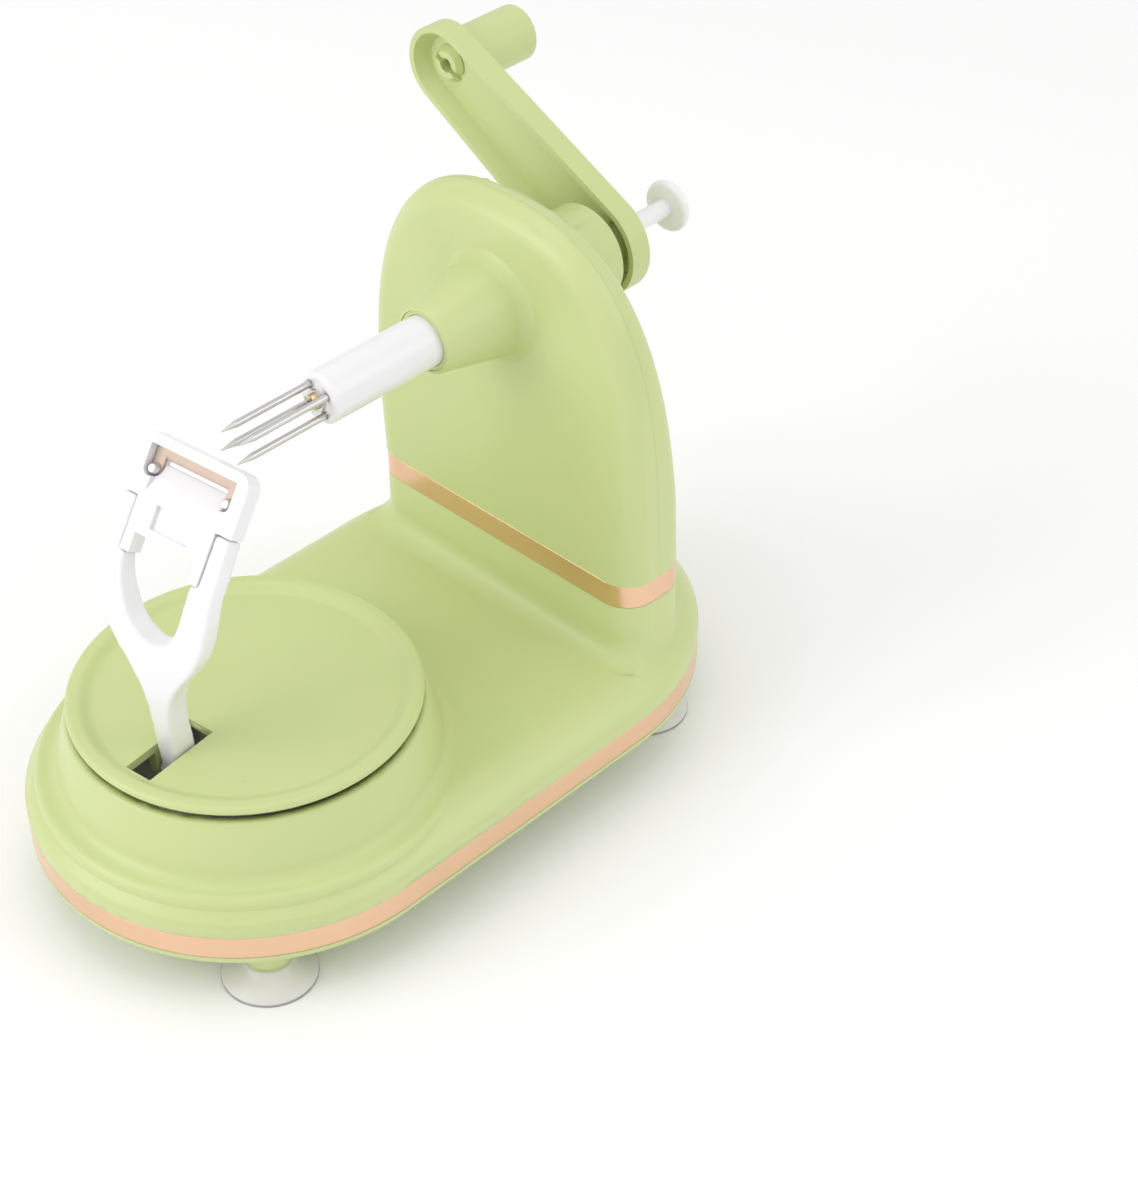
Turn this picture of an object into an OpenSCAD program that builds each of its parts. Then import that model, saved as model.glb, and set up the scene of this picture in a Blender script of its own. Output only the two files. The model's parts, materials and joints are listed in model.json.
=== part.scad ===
// Hand-cranked apple peeler, in millimetres.
// The object is drawn with the turntable's axis at x = 0 and the table at z = 0.
// The crank's spindle runs along +X above the mid-plane y = 0.
// placed() then moves everything so that the origin is the middle of the footprint.

/* [Base] */
// Radius of the rounded ends of the base
base_r = 62.5; // [60:0.5:66]
// Distance between the centres of the two rounded ends
base_l = 91.5; // [88:0.1:96]
// Thickness of the moulded walls
wall = 2.4; // [2:0.1:2.8]
// Height of the bottom cover's underside above the table
foot_clear = 13.5; // [12:0.5:16]
// Thickness of the bottom cover's plate
plate_t = 2; // [1.6:0.1:2.6]
// Height of the bottom cover's rim
cover_h = 3.5; // [3:0.1:4.5]
// Height of the copper stripe round the base
stripe_h = 7.3; // [6:0.1:8]
// Thickness of the copper stripe
stripe_t = 1; // [0.8:0.1:1.4]
// Height of the plain wall above the stripe
upper_wall_h = 3.7; // [3:0.1:5]
// Width of the rounded shoulder of the base
shoulder_w = 12.5; // [10:0.5:14]
// Drop of the rounded shoulder of the base
shoulder_h = 7; // [6:0.5:8]

/* [Suction cups] */
// Radius of a suction cup at the table
cup_r = 13.2; // [11:0.1:15]
// Height of a suction cup below its boss
cup_h = 6.5; // [5.5:0.1:8]
// Radius of the stem that plugs into the boss
cup_stem_r = 3.5; // [3:0.1:4]
// Distance of a cup's axis from the edge of the base
cup_inset = 10.8; // [9.5:0.1:13]
// Angle of the cups round the ends of the base
cup_angle = 51.8; // [46:0.1:56]
// Shift of the rear cups towards the front
rear_cup_shift = 7; // [0:0.5:8]

/* [Pedestal and turntable] */
// Distance of the pedestal's top edge from the edge of the base
pedestal_inset = 13.1; // [12.5:0.1:14]
// Height of the pedestal above the base
pedestal_h = 17.5; // [16:0.5:20]
// How much wider the pedestal is at its foot
pedestal_flare = 3.2; // [2:0.1:4]
// Hollow fillet between the pedestal and the base
pedestal_fillet = 4.4; // [3.5:0.1:4.8]
// Distance of the disc's edge from the pedestal's edge
disc_inset = 0.9; // [0.5:0.1:1.5]
// Gap between the pedestal and the disc's rim
disc_gap = 1.8; // [1:0.1:2.5]
// Height of the disc's rim
rim_h = 2.9; // [2.4:0.1:3.5]
// Width of the disc's raised edge with its slope
edge_w = 6.7; // [6:0.1:7.5]
// Depth of the dished floor below the rim
dish_depth = 2; // [1.5:0.1:2.2]
// Thickness of the disc's floor
floor_t = 2.6; // [2.2:0.1:3]
// Width of the slot for the peeling arm
slot_w = 8.6; // [8.4:0.1:10]
// Distance of the slot's inner end from the turntable's axis
slot_in = 17.5; // [17:0.1:19]
// Distance of the slot's outer end from the slope of the disc's edge
slot_inset = 0.5; // [0.4:0.1:0.6]
// Angle of the slot at rest, from the front of the base
slot_angle = 6.5; // [-20:0.5:20]

/* [Column] */
// Distance of the column's middle from the centre of the base's rear end
column_set = 17.6; // [16.5:0.1:18.5]
// Half of the column's depth at the copper band
column_half_d = 12.9; // [12.6:0.1:14]
// Distance of the column's side from the side of the base
column_inset = 10.2; // [9.5:0.1:12]
// Radius of the column's upright corners
column_corner_r = 10; // [8:0.5:11]
// Hollow fillet round the column's foot
foot_fillet = 7; // [4:0.5:8]
// Height of the copper band's lower edge above the base
band_rise = 18.2; // [16:0.1:22]
// Height of the copper band
band_h = 7.7; // [6:0.1:9]
// Thickness of the copper band
band_t = 2.2; // [1.8:0.1:2.6]
// Height of the column's top above the spindle
column_over = 31.2; // [29:0.1:36]
// Height above the band at which the sides start to close in
arch_start = 23.6; // [18:0.1:30]
// Squareness of the arch, 2 is an ellipse
arch_power = 2.68; // [2.2:0.02:3]
// How far the back leans in at the top
column_lean = 13; // [10:0.5:14]
// Radius of the arch's rounded edges
arch_edge_r = 7.2; // [6:0.1:7.6]
// Gap of the parting line between the column's two covers
parting_gap = 0.3; // [0.2:0.05:0.5]

/* [Spindle] */
// Radius of the white spindle sleeve
sleeve_r = 7.4; // [7:0.1:8]
// Front face of the sleeve, from the turntable's axis
sleeve_x = 32.5; // [30:0.5:36]
// Radius of the spindle behind the drive pinion
shaft_r = 5; // [4.8:0.1:5.2]
// Length of the front boss
boss_l = 26; // [24:0.5:30]
// Radius of the front boss at its mouth
boss_mouth_r = 9.8; // [9.6:0.1:11]
// Radius of the front boss where its fillet starts
boss_root_r = 14; // [13:0.1:15]
// Fillet between the front boss and the column
boss_fillet = 5.5; // [4:0.5:7]
// Radius of the rear boss
rear_boss_r = 14.4; // [13.5:0.1:15]
// Length of the rear boss behind the column's foot
rear_boss_l = 12; // [10:0.5:14]
// Wall of the spindle's bushes
bush_wall = 1.35; // [1:0.05:1.6]
// Length of the fork's needles outside the sleeve
needle_l = 29.7; // [24:0.1:32]
// Radius of a needle
needle_r = 0.95; // [0.8:0.05:1.05]
// Distance of the needles from the spindle's axis
needle_ring_r = 4.6; // [4.4:0.1:4.8]

/* [Crank and ejector] */
// Gap between the rear boss and the crank arm's rim
crank_gap = 2.6; // [2:0.1:4]
// Depth of the crank arm's channel, with its web
crank_d = 6.9; // [6:0.1:9]
// Thickness of the crank arm's walls
crank_wall = 1.8; // [1.5:0.1:2.2]
// Thickness of the crank arm's web
crank_web = 2.2; // [1.8:0.1:2.6]
// Distance between the spindle and the handle's axis
crank_len = 69.5; // [60:0.5:78]
// Radius of the crank arm's end at the spindle
crank_pivot_r = 15; // [14:0.1:16]
// Radius of the crank arm's end at the handle
crank_end_r = 12.3; // [11:0.1:13]
// Angle of the crank at rest, above the horizontal
crank_angle = 28.5; // [0:0.5:60]
// Radius of the handle
grip_r = 8.4; // [7.5:0.1:9.5]
// Length of the handle
grip_l = 24.8; // [20:0.1:40]
// Radius of the handle's snap stem
grip_stem_r = 4.5; // [4:0.1:5]
// Radius of the ejector rod
rod_r = 2.7; // [2.5:0.05:2.8]
// Radius of the ejector's push knob
knob_r = 7.8; // [7:0.1:9]
// Thickness of the push knob
knob_t = 3; // [2.5:0.1:4]
// Travel of the ejector
eject_travel = 20; // [12:1:21]

/* [Gears] */
// Module of all the gears
gear_m = 1.25; // [1.22:0.01:1.3]
// Teeth of each pinion
pinion_n = 12; // [12:12]
// Teeth of the reduction gear
reduction_n = 44; // [44:44]
// Teeth of the idler gear
idler_n = 48; // [48:48]
// Teeth of the crown gear
crown_n = 60; // [60:60]
// Width of the spur gears' teeth
gear_w = 4; // [3.5:0.1:4.2]
// Length of the crown gear's teeth along the radius
crown_w = 4; // [3.5:0.1:4.5]
// Play between meshing teeth, along the pitch line
backlash = 0.4; // [0.3:0.05:0.5]
// Radius of the gears' axle pins
axle_r = 2; // [1.8:0.1:2.4]
// Radius of the drive shaft
drive_shaft_r = 2.5; // [2.2:0.1:3]

/* [Peeling arm] */
// Distance of the arm's pivot from the turntable's axis
pivot_s = 25.7; // [25.4:0.1:25.8]
// Depth of the pivot below the disc's underside
pivot_drop = 6.6; // [6:0.1:7.5]
// Width of the arm's stem at the slot
stem_w = 5.8; // [5:0.1:7]
// Depth of the arm's stem at the pivot
stem_d = 8.5; // [8:0.1:9]
// Width of the barrel round the arm's pivot
barrel_w = 7.8; // [7.4:0.1:8]
// Half width of the fork at its widest
fork_half_w = 19.4; // [18.8:0.1:20]
// Width of a tine beside the head's leg
tine_w = 5; // [4.6:0.1:5.4]
// Distance of the fork's tips from the turntable's axis
tip_s = 17.5; // [17.3:0.1:18.5]
// Depth of the fork's tips below the spindle
tip_drop = 8.8; // [8:0.1:10]
// Slope of the blade head
head_slope = 54.5; // [53:0.5:56]
// Height of the blade head above the fork's tips
head_h = 16.7; // [16.4:0.1:17.2]
// Half width of the blade head
head_half_w = 18.5; // [18:0.1:19]
// Thickness of the blade head and the fork's tips
head_t = 5; // [4.6:0.1:5.2]
// Length of the head's legs beside the tines
leg_l = 14.2; // [12:0.1:15]
// Depth of the window that the blade lies in
window_d = 3.6; // [3:0.1:3.8]
// Width of the blade's strip
blade_w = 2.9; // [2.5:0.1:3.2]
// Thickness of the blade
blade_t = 0.7; // [0.6:0.05:0.9]
// Distance of a rivet from the blade's middle
rivet_t = 12.5; // [12:0.1:12.8]

/* [Hidden] */
$fn = 64;

// Clearances
run_gap = 0.05;
seat_gap = 0.2;
part_gap = 0.3;
cut = 1;
chamfer = 0.8;
fine_chamfer = 0.4;

// Main places, from the base outwards
pedestal_r = base_r - pedestal_inset;
disc_r = pedestal_r - disc_inset;
dish_r = disc_r - edge_w;
slot_out = dish_r - slot_inset;
column_x = base_l + column_set;
column_half_w = base_r - column_inset;
front_x = column_x - column_half_d;
back_x = column_x + column_half_d;
boss_x = front_x - boss_l;
rear_boss_x = back_x + rear_boss_l;
crank_x = rear_boss_x + crank_gap;

// Heights of the base
plate_top_z = foot_clear + plate_t;
split_z = foot_clear + cover_h;
stripe_top_z = split_z + stripe_h;
shoulder_z = stripe_top_z + upper_wall_h;
base_top_z = shoulder_z + shoulder_h;
ceiling_z = base_top_z - wall;
shoulder_r = (shoulder_w * shoulder_w + shoulder_h * shoulder_h) / (2 * shoulder_h);
rim_wall = 2;
inner_r = base_r - stripe_t - rim_wall;
lip_h = 3;
cover_edge_r = 3;

// Housing screws
post_r = 3.6;
housing_screw_r = 1.5;
screw_head_r = 3;
screw_head_h = 1.8;
post_inset = 9.5;
post_ring_r = base_r - post_inset;
post_angle = 30;
side_post_x = 2 * base_l / 3;
post_drop = 1;
screw_bite = 7;
pilot_spare = 2;
post_xy = [
    for (side = [-1, 1]) each [
        [-post_ring_r * cos(post_angle), side * post_ring_r * sin(post_angle)],
        [side_post_x, side * (base_r - shoulder_w)],
        [base_l + post_ring_r * cos(post_angle), side * post_ring_r * sin(post_angle)]
    ]
];
cup_ring_r = base_r - cup_inset;
cup_xy = [
    for (centre = [0, base_l], side = [-1, 1])
        [
            centre > 0 ? centre + cup_ring_r * cos(cup_angle) - rear_cup_shift : -cup_ring_r * cos(cup_angle),
            side * cup_ring_r * sin(cup_angle)
        ]
];
cup_lip_w = 1.3;
cup_lip_t = 0.7;
cup_neck = 2.4;
cup_boss_wall = 3;
cup_boss_draft = 2;

// Pedestal and turntable
pedestal_top_z = base_top_z + pedestal_h;
pedestal_foot_r = pedestal_r + pedestal_flare;
ledge_r = pedestal_foot_r + pedestal_fillet;
ledge_round = 2.5;
lip_extra = 0.4;
foot_extra = 0.6;
pedestal_bore_r = pedestal_r - wall - lip_extra;
skirt_gap = 0.5;
skirt_lean = 1.5;
dish_round = 2;
rim_bottom_z = pedestal_top_z + disc_gap;
rim_top_z = rim_bottom_z + rim_h;
floor_z = rim_top_z - dish_depth;
disc_under_z = floor_z - floor_t;
hub_r = 14;
lug_t = 3;
lug_half_s = 5;

// Gear train, from the base up to the spindle
pinion_r = gear_m * pinion_n / 2;
reduction_r = gear_m * reduction_n / 2;
idler_r = gear_m * idler_n / 2;
crown_r = gear_m * crown_n / 2;
addendum = 0.8 * gear_m;
dedendum = 1.1 * gear_m;
pressure_angle = 25;
shaft_clear = 0.5;
shaft_z = plate_top_z + shaft_clear + pinion_r + addendum;
idler_z = shaft_z + pinion_r + idler_r;
reduction_z = idler_z + idler_r + pinion_r;
spindle_z = reduction_z + reduction_r + pinion_r;
gear_clear = 1;
gear_step = 1.4;
frame_clear = 1.2;
gear_front_x = front_x + wall + gear_clear;
gear_back_x = gear_front_x + gear_w + gear_step;
frame_x = gear_back_x + gear_w + frame_clear;
frame_t = 2.5;
frame_half_w = 14;
frame_top_r = 9;
frame_over = 10;
frame_top_z = reduction_z + frame_over;
frame_foot_l = 6;
frame_screw_r = 1.2;
frame_head_r = 2.2;
frame_head_h = 1.4;
axle_head_r = 3.5;
axle_head_t = 0.8;
hub_len = frame_clear - seat_gap;
web_hole_ring = 0.6;
web_hole_share = 0.18;

// Crown gear and its bearing
crown_pitch_z = shaft_z + pinion_r;
crown_root_z = crown_pitch_z + dedendum;
crown_t = 2.6;
crown_edge = 0.6;
tooth_root = 0.3;
crown_top_z = crown_root_z + crown_t;
bearing_r = 9;
bearing_shaft_r = 6;
bearing_top_z = crown_root_z - seat_gap;
bearing_flange_r = 14;
bearing_flange_t = 2;
retainer_r = 8.5;
retainer_t = 1.4;
retainer_z = plate_top_z - seat_gap - retainer_t;
retainer_bite = 9;
crown_screw_ring_r = 9;
crown_screw_r = 1.3;
crown_head_r = 2.4;
crown_head_h = 1.6;
crown_screw_sink = 3;
shaft_pinion_w = 5;
shaft_pinion_x = crown_r - shaft_pinion_w / 2;
front_hub_l = 4;
back_hub_l = 3;
shaft_hub_l = 3;
shaft_over = 0.5;
shaft_post_t = 3;
shaft_post_half_w = 6;
shaft_post_over = 5;
shaft_post_x = [shaft_pinion_x - front_hub_l - shaft_post_t, shaft_pinion_x + shaft_pinion_w + back_hub_l];
shaft_front_x = shaft_post_x[0] - shaft_over;

// Column
band_z = base_top_z + band_rise;
band_top_z = band_z + band_h;
column_top_z = spindle_z + column_over;
flare_rim = 3.5;
flare_run = 3;
flare_end_q = base_r - flare_rim;
spigot_gap = 0.2;
spigot_h = 3;
spigot_step = 0.7;
spigot_inset = wall + spigot_gap + spigot_step;
spigot_wall = 1.7;
column_post_r = 4.4;
column_screw_r = 1.5;
column_head_depth = 3.2;
screw_cover = 1;
screw_end_x = front_x + wall + screw_cover;
post_clear = 1.6;
low_screw_y = idler_r + addendum + post_clear + column_post_r;
low_screw_rise = 17;
high_screw_rise = 13;
column_screw_yz = [
    for (side = [-1, 1]) each [
        [side * low_screw_y, band_top_z + low_screw_rise],
        [side * column_half_w / 2, spindle_z + high_screw_rise]
    ]
];

// Spindle, crank and ejector
bush_r = sleeve_r + run_gap + bush_wall;
bush_set = 1.5;
rear_bush_wall = 2;
rear_bush_set = 0.5;
rear_bush_r = shaft_r + run_gap + rear_bush_wall;
rear_boss_clear = 0.8;
rear_boss_in_x = frame_x + rear_boss_clear;
pinion_x = gear_front_x;
sleeve_round = 1.4;
flat_half = 4;
crank_back_x = crank_x + crank_d;
crank_web_x = crank_back_x - crank_web;
crank_boss_r = 8.5;
crank_boss_set = 1.4;
set_screw_r = 1;
set_screw_x = crank_x + 3.2;
set_screw_sink = 0.5;
spindle_end_x = crank_back_x;
grip_x = crank_back_x + part_gap;
grip_round = 1.2;
hook_out = 1.1;
hook_r = grip_stem_r + hook_out;
hook_t = 1.9;
hook_slot = 1.8;
hook_bore_r = 2.2;
hook_bore_l = 8;
knob_gap = 2.5;
knob_x = spindle_end_x + eject_travel + knob_gap;
knob_neck = 1;
knob_round = 1;
knob_draft = 0.3;
washer_r = 3.1;
washer_t = 0.8;
pusher_screw_r = 1.2;
pusher_head_r = 2.3;
pusher_head_h = 1.4;
needle_depth = 12;
needle_tip = 5;
needle_point_r = 0.15;

// Peeling arm, in the slot's own plane: s runs outwards, z upwards
pivot_z = disc_under_z - pivot_drop;
arm_pin_r = 1.5;
barrel_r = 5;
pocket_w = 4;
pocket_over = 7;
fork_tip_z = spindle_z - tip_drop;
up_head = [-cos(head_slope), sin(head_slope)];
into_head = [-sin(head_slope), -cos(head_slope)];
fork_tip = [tip_s, fork_tip_z];
knee = fork_tip - (leg_l + cut) * up_head;
knee_pull = 10;
belly = 3.75;
belly_rise = 29;
stem_draft = 0.5;
fork_h = 59.7;
fork_sweep = 19;
fork_wide_h = 15.7;
tine_run = 6;
crotch_h = 33.9;
crotch_rise = 8;
tine_in = 11.2;
tine_in_h = 13;

// Blade head, from its outer face: up from the fork's tips and into the head
head_round = 4;
leg_gap = 0.25;
leg_in = 10.2;
leg_out = head_half_w - tine_w - leg_gap;
bridge_l = 8.7;
top_bar = 2.7;
lug_r = 1.7;
rivet_r = 1.1;
rivet_head_r = 1.6;
rivet_head_h = 0.8;
window_top = head_h - top_bar;
blade_a = window_top - part_gap - blade_w;
blade_edge = 0.9;
rivet_drop = 3.1;
rivet_a = blade_a - rivet_drop;
mouth_gap = 1.2;
mouth_h = 2.2;
mouth_a = blade_a - mouth_gap;
ramp_a = 2;
ramp_half_w = rivet_t - lug_r - part_gap;
step_half_w = 6.4;
step_l = 6.4;
step_d = 1.2;

// Torsion spring of the arm
spring_wire_r = 0.5;
spring_r = 3;
spring_turns = 3;
spring_pitch = 2 * spring_wire_r;
spring_set = 0.6;
spring_tail_l = 1.5;

// Middle of the footprint
rear_end_x = max(grip_x + grip_l, knob_x + knob_t);
mid_x = (rear_end_x - base_r) / 2;
mid_y = (crank_len * cos(crank_angle) + crank_end_r - base_r) / 2;

// Colours
green = [0.80, 0.84, 0.58];
copper = [0.85, 0.60, 0.42];
white = [0.95, 0.94, 0.97];
steel = [0.75, 0.75, 0.77];
brass = [0.80, 0.68, 0.42];
rubber = [0.85, 0.84, 0.78];
nylon = [0.90, 0.89, 0.84];

// Points of an arc
function arc(centre, r, from, to, n = 8) =
    [for (i = [0:n]) let (a = from + (to - from) * i / n) centre + r * [cos(a), sin(a)]];

// Point and direction of a cubic curve
function bezier(p, u) =
    pow(1 - u, 3) * p[0] + 3 * u * pow(1 - u, 2) * p[1] + 3 * u * u * (1 - u) * p[2] + pow(u, 3) * p[3];
function bezier_dir(p, u) =
    let (d = pow(1 - u, 2) * (p[1] - p[0]) + 2 * u * (1 - u) * (p[2] - p[1]) + u * u * (p[3] - p[2]))
    d / norm(d);
function curve(p, n = 12) = [for (i = [0:n]) bezier(p, i / n)];
function backwards(list) = [for (i = [len(list) - 1:-1:0]) list[i]];

// Moves the finished pieces so that the origin is the middle of the footprint
module placed() translate([-mid_x, -mid_y, 0]) children();

// Turns a shape's +Z axis to +X and puts it on the mid-plane
module along_x(x, z, y = 0) translate([x, y, z]) rotate([0, 90, 0]) children();

// Upright prism with round ends, like the base seen from above
module stadium(r, h) {
    cylinder(r = r, h = h);
    translate([base_l, 0, 0]) cylinder(r = r, h = h);
    translate([0, -r, 0]) cube([base_l, 2 * r, h]);
}

// Sweeps a half section round the base's outline
module stadium_sweep() {
    rotate_extrude() children();
    translate([base_l, 0, 0]) rotate_extrude() children();
    rotate([90, 0, 90]) linear_extrude(base_l) {
        children();
        mirror([1, 0]) children();
    }
}

// Upright prism with rounded corners, centred on the column
module column_prism(inset, h) {
    hd = column_half_d - inset;
    hw = column_half_w - inset;
    r = column_corner_r - inset;
    translate([column_x, 0, 0]) {
        translate([-hd, r - hw, 0]) cube([2 * hd, 2 * (hw - r), h]);
        translate([r - hd, -hw, 0]) cube([2 * (hd - r), 2 * hw, h]);
        for (sx = [-1, 1], sy = [-1, 1])
            translate([sx * (hd - r), sy * (hw - r), 0]) cylinder(r = r, h = h);
    }
}

// Sweeps a section that stands outside the column round the column's outline
module column_sweep() {
    r = column_corner_r;
    translate([column_x, 0, 0]) {
        for (sx = [-1, 1], sy = [-1, 1])
            translate([sx * (column_half_d - r), sy * (column_half_w - r), 0])
                rotate_extrude() translate([r, 0]) children();
        for (k = [0:3]) {
            a = k % 2 == 0 ? column_half_d : column_half_w;
            b = k % 2 == 0 ? column_half_w : column_half_d;
            rotate([0, 0, 90 * k]) translate([a, b - r, 0])
                rotate([90, 0, 0]) linear_extrude(2 * (b - r)) children();
        }
    }
}

// Screw with a pan head, pointing along +Z with its head's seat at z = 0
module pan_screw(r, l, head_r = screw_head_r, head_h = screw_head_h) {
    cylinder(r = r, h = l);
    translate([0, 0, -head_h]) cylinder(r1 = head_r * 0.8, r2 = head_r, h = head_h);
}

// Base

// Bottom cover with its rim, cup bosses and bearing posts
module bottom_cover() color(green) difference() {
    union() {
        difference() {
            stadium_sweep() polygon(concat(
                [[0, foot_clear]],
                arc([base_r - cover_edge_r, foot_clear + cover_edge_r], cover_edge_r, -90, 0),
                [
                    [base_r, split_z], [inner_r - seat_gap, split_z],
                    [inner_r - seat_gap, split_z + lip_h], [0, split_z + lip_h]
                ]
            ));
            translate([0, 0, plate_top_z]) stadium(inner_r - wall, split_z + lip_h);
        }
        for (p = cup_xy)
            translate([p.x, p.y, cup_h])
                cylinder(
                    r1 = cup_stem_r + cup_boss_wall, r2 = cup_stem_r + cup_boss_wall + cup_boss_draft,
                    h = foot_clear - cup_h + plate_t / 2
                );
        for (x = shaft_post_x)
            translate([x, -shaft_post_half_w, foot_clear + plate_t / 2])
                cube([
                    shaft_post_t, 2 * shaft_post_half_w, shaft_z + shaft_post_over - foot_clear - plate_t / 2
                ]);
    }
    for (p = cup_xy) translate([p.x, p.y, 0]) cylinder(r = cup_stem_r, h = split_z + cut);
    for (p = post_xy) translate([p.x, p.y, 0]) cylinder(r = housing_screw_r + seat_gap, h = split_z + cut);
    along_x(shaft_post_x[0] - cut, shaft_z)
        cylinder(r = drive_shaft_r + run_gap, h = shaft_post_x[1] - shaft_post_x[0] + shaft_post_t + 2 * cut);
    translate([0, 0, foot_clear - cut]) cylinder(r = retainer_r + part_gap, h = plate_t + 2 * cut);
}

// Height of the base's shoulder at a distance from the mid-plane
function shoulder_at(q) =
    base_top_z - shoulder_r + sqrt(pow(shoulder_r, 2) - pow(max(0, q - base_r + shoulder_w), 2));

// Half section of the base's outside
module base_section() polygon(concat(
    [
        [0, split_z], [base_r - stripe_t, split_z], [base_r - stripe_t, stripe_top_z],
        [base_r, stripe_top_z]
    ],
    arc(
        [base_r - shoulder_w, base_top_z - shoulder_r], shoulder_r,
        atan2(shoulder_r - shoulder_h, shoulder_w), 90, 10
    ),
    [[0, base_top_z]]
));

// Half section of the base's hollow
module base_hollow_section() polygon([
    [0, split_z - cut], [inner_r, split_z - cut], [inner_r, shoulder_z - wall],
    [base_r - shoulder_w - wall / 2, ceiling_z], [0, ceiling_z]
]);

// Half section of the pedestal and the ledge round its foot
module pedestal_section() polygon(concat(
    [
        [0, shoulder_z], [0, pedestal_top_z],
        [pedestal_r - chamfer, pedestal_top_z], [pedestal_r, pedestal_top_z - chamfer]
    ],
    arc([ledge_r, base_top_z + pedestal_fillet], pedestal_fillet, 180, 270),
    arc([ledge_r, base_top_z - ledge_round], ledge_round, 90, 0, 6),
    [[ledge_r + ledge_round, shoulder_z]]
));

// Hollow fillet round the column's foot, running out on the shoulder inside the base's edge
module column_flare() intersection() {
    translate([0, 0, base_top_z]) column_sweep() polygon(concat(
        [[-cut, -shoulder_h / 2], [foot_fillet, -shoulder_h / 2]],
        arc([foot_fillet, foot_fillet], foot_fillet, 270, 180), [[-cut, foot_fillet]]
    ));
    stadium_sweep() polygon(concat(
        [
            [0, shoulder_z], [0, base_top_z + 2 * foot_fillet],
            [column_half_w, base_top_z + 2 * foot_fillet]
        ],
        curve([
            [column_half_w, base_top_z + foot_fillet], [column_half_w, base_top_z + foot_fillet / 4],
            [flare_end_q - flare_run, shoulder_at(flare_end_q - flare_run)],
            [flare_end_q, shoulder_at(flare_end_q)]
        ], 10),
        [[flare_end_q, shoulder_z]]
    ));
}

// Upper shell of the base with the pedestal and the column's foot
module upper_shell() color(green) {
    difference() {
        union() {
            stadium_sweep() base_section();
            rotate_extrude() pedestal_section();
            translate([0, 0, ceiling_z]) column_prism(0, band_z - ceiling_z);
            translate([0, 0, band_z - cut]) column_prism(band_t + spigot_gap, cut + band_h);
            translate([0, 0, band_z]) column_prism(spigot_inset, band_h + spigot_h);
            column_flare();
        }
        stadium_sweep() base_hollow_section();
        rotate_extrude() polygon([
            [0, split_z], [pedestal_foot_r - wall - foot_extra, split_z],
            [pedestal_foot_r - wall - foot_extra, base_top_z],
            [pedestal_bore_r, pedestal_top_z - wall], [pedestal_bore_r, pedestal_top_z + cut],
            [0, pedestal_top_z + cut]
        ]);
        translate([0, 0, split_z]) column_prism(wall, band_z - 2 * wall - split_z);
        translate([0, 0, split_z])
            column_prism(spigot_inset + spigot_wall, band_top_z + spigot_h - split_z + cut);
    }
    for (p = post_xy) translate([p.x, p.y, plate_top_z]) difference() {
        cylinder(r = post_r, h = ceiling_z - post_drop - plate_top_z);
        translate([0, 0, -cut]) cylinder(r = housing_screw_r, h = screw_bite + pilot_spare + cut);
    }
}

// Copper stripe round the base
module base_stripe() color(copper) translate([0, 0, split_z]) difference() {
    stadium(base_r, stripe_h);
    translate([0, 0, -cut]) stadium(base_r - stripe_t, stripe_h + 2 * cut);
}

// Suction cups plugged into their bosses
module suction_cups() color(rubber) for (p = cup_xy) translate([p.x, p.y, 0]) rotate_extrude() polygon(concat(
    [[0, cup_h * 0.45], [cup_r * 0.55, cup_h * 0.4], [cup_r - cup_lip_w, 0], [cup_r, 0]],
    curve([
        [cup_r, cup_lip_t], [cup_r * 0.8, cup_h * 0.5],
        [cup_r * 0.55, cup_h * 0.6], [cup_stem_r + cup_neck, cup_h]
    ], 6),
    [[cup_stem_r, cup_h], [cup_stem_r, plate_top_z], [0, plate_top_z]]
));

// Screws that hold the bottom cover to the upper shell
module housing_screws() color(steel) for (p = post_xy)
    translate([p.x, p.y, foot_clear]) pan_screw(housing_screw_r, plate_t + screw_bite);

// Column

// Copper band between the base and the column's covers
module column_band() color(copper) translate([0, 0, band_z]) difference() {
    column_prism(0, band_h);
    translate([0, 0, -cut]) column_prism(band_t, band_h + 2 * cut);
}

// Place of the column's back at a height
function back_at(z) = back_x - column_lean * (z - band_top_z) / (column_top_z - band_top_z);
function split_at(z) = (front_x + back_at(z)) / 2;

// Middle of the arch's rounded edge, as [y, z]
function arch_point(t) = [
    (column_half_w - arch_edge_r) * pow(abs(cos(t)), 2 / arch_power) * sign(90 - t),
    band_top_z + arch_start
        + (column_top_z - arch_edge_r - band_top_z - arch_start) * pow(sin(t), 2 / arch_power)
];

// Solid arch of the column, drawn in by an even amount
module arch_body(inset) hull() {
    r = arch_edge_r - inset;
    translate([0, 0, band_top_z - (inset > 0 ? cut : 0)]) column_prism(inset, cut, $fn = 32);
    for (t = [0:10:180]) {
        p = arch_point(t);
        for (x = [front_x + arch_edge_r, back_at(p[1]) - arch_edge_r])
            translate([x, p[0], p[1]]) sphere(r = r, $fn = 28);
    }
}

// Everything in front of, or behind, the column's parting line
module column_side(front) {
    far = front ? boss_x - 2 * cut : rear_boss_x + 2 * cut;
    gap = (front ? -1 : 1) * parting_gap / 2;
    low = band_top_z - 2 * cut;
    high = column_top_z + 2 * cut;
    translate([0, 2 * column_half_w, 0]) rotate([90, 0, 0]) linear_extrude(4 * column_half_w)
        polygon([[split_at(low) + gap, low], [split_at(high) + gap, high], [far, high], [far, low]]);
}

// Posts that the column's screws run through
module column_posts() for (p = column_screw_yz)
    along_x(front_x + wall / 2, p[1], p[0]) cylinder(r = column_post_r, h = back_at(p[1]) - front_x - wall);

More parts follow.
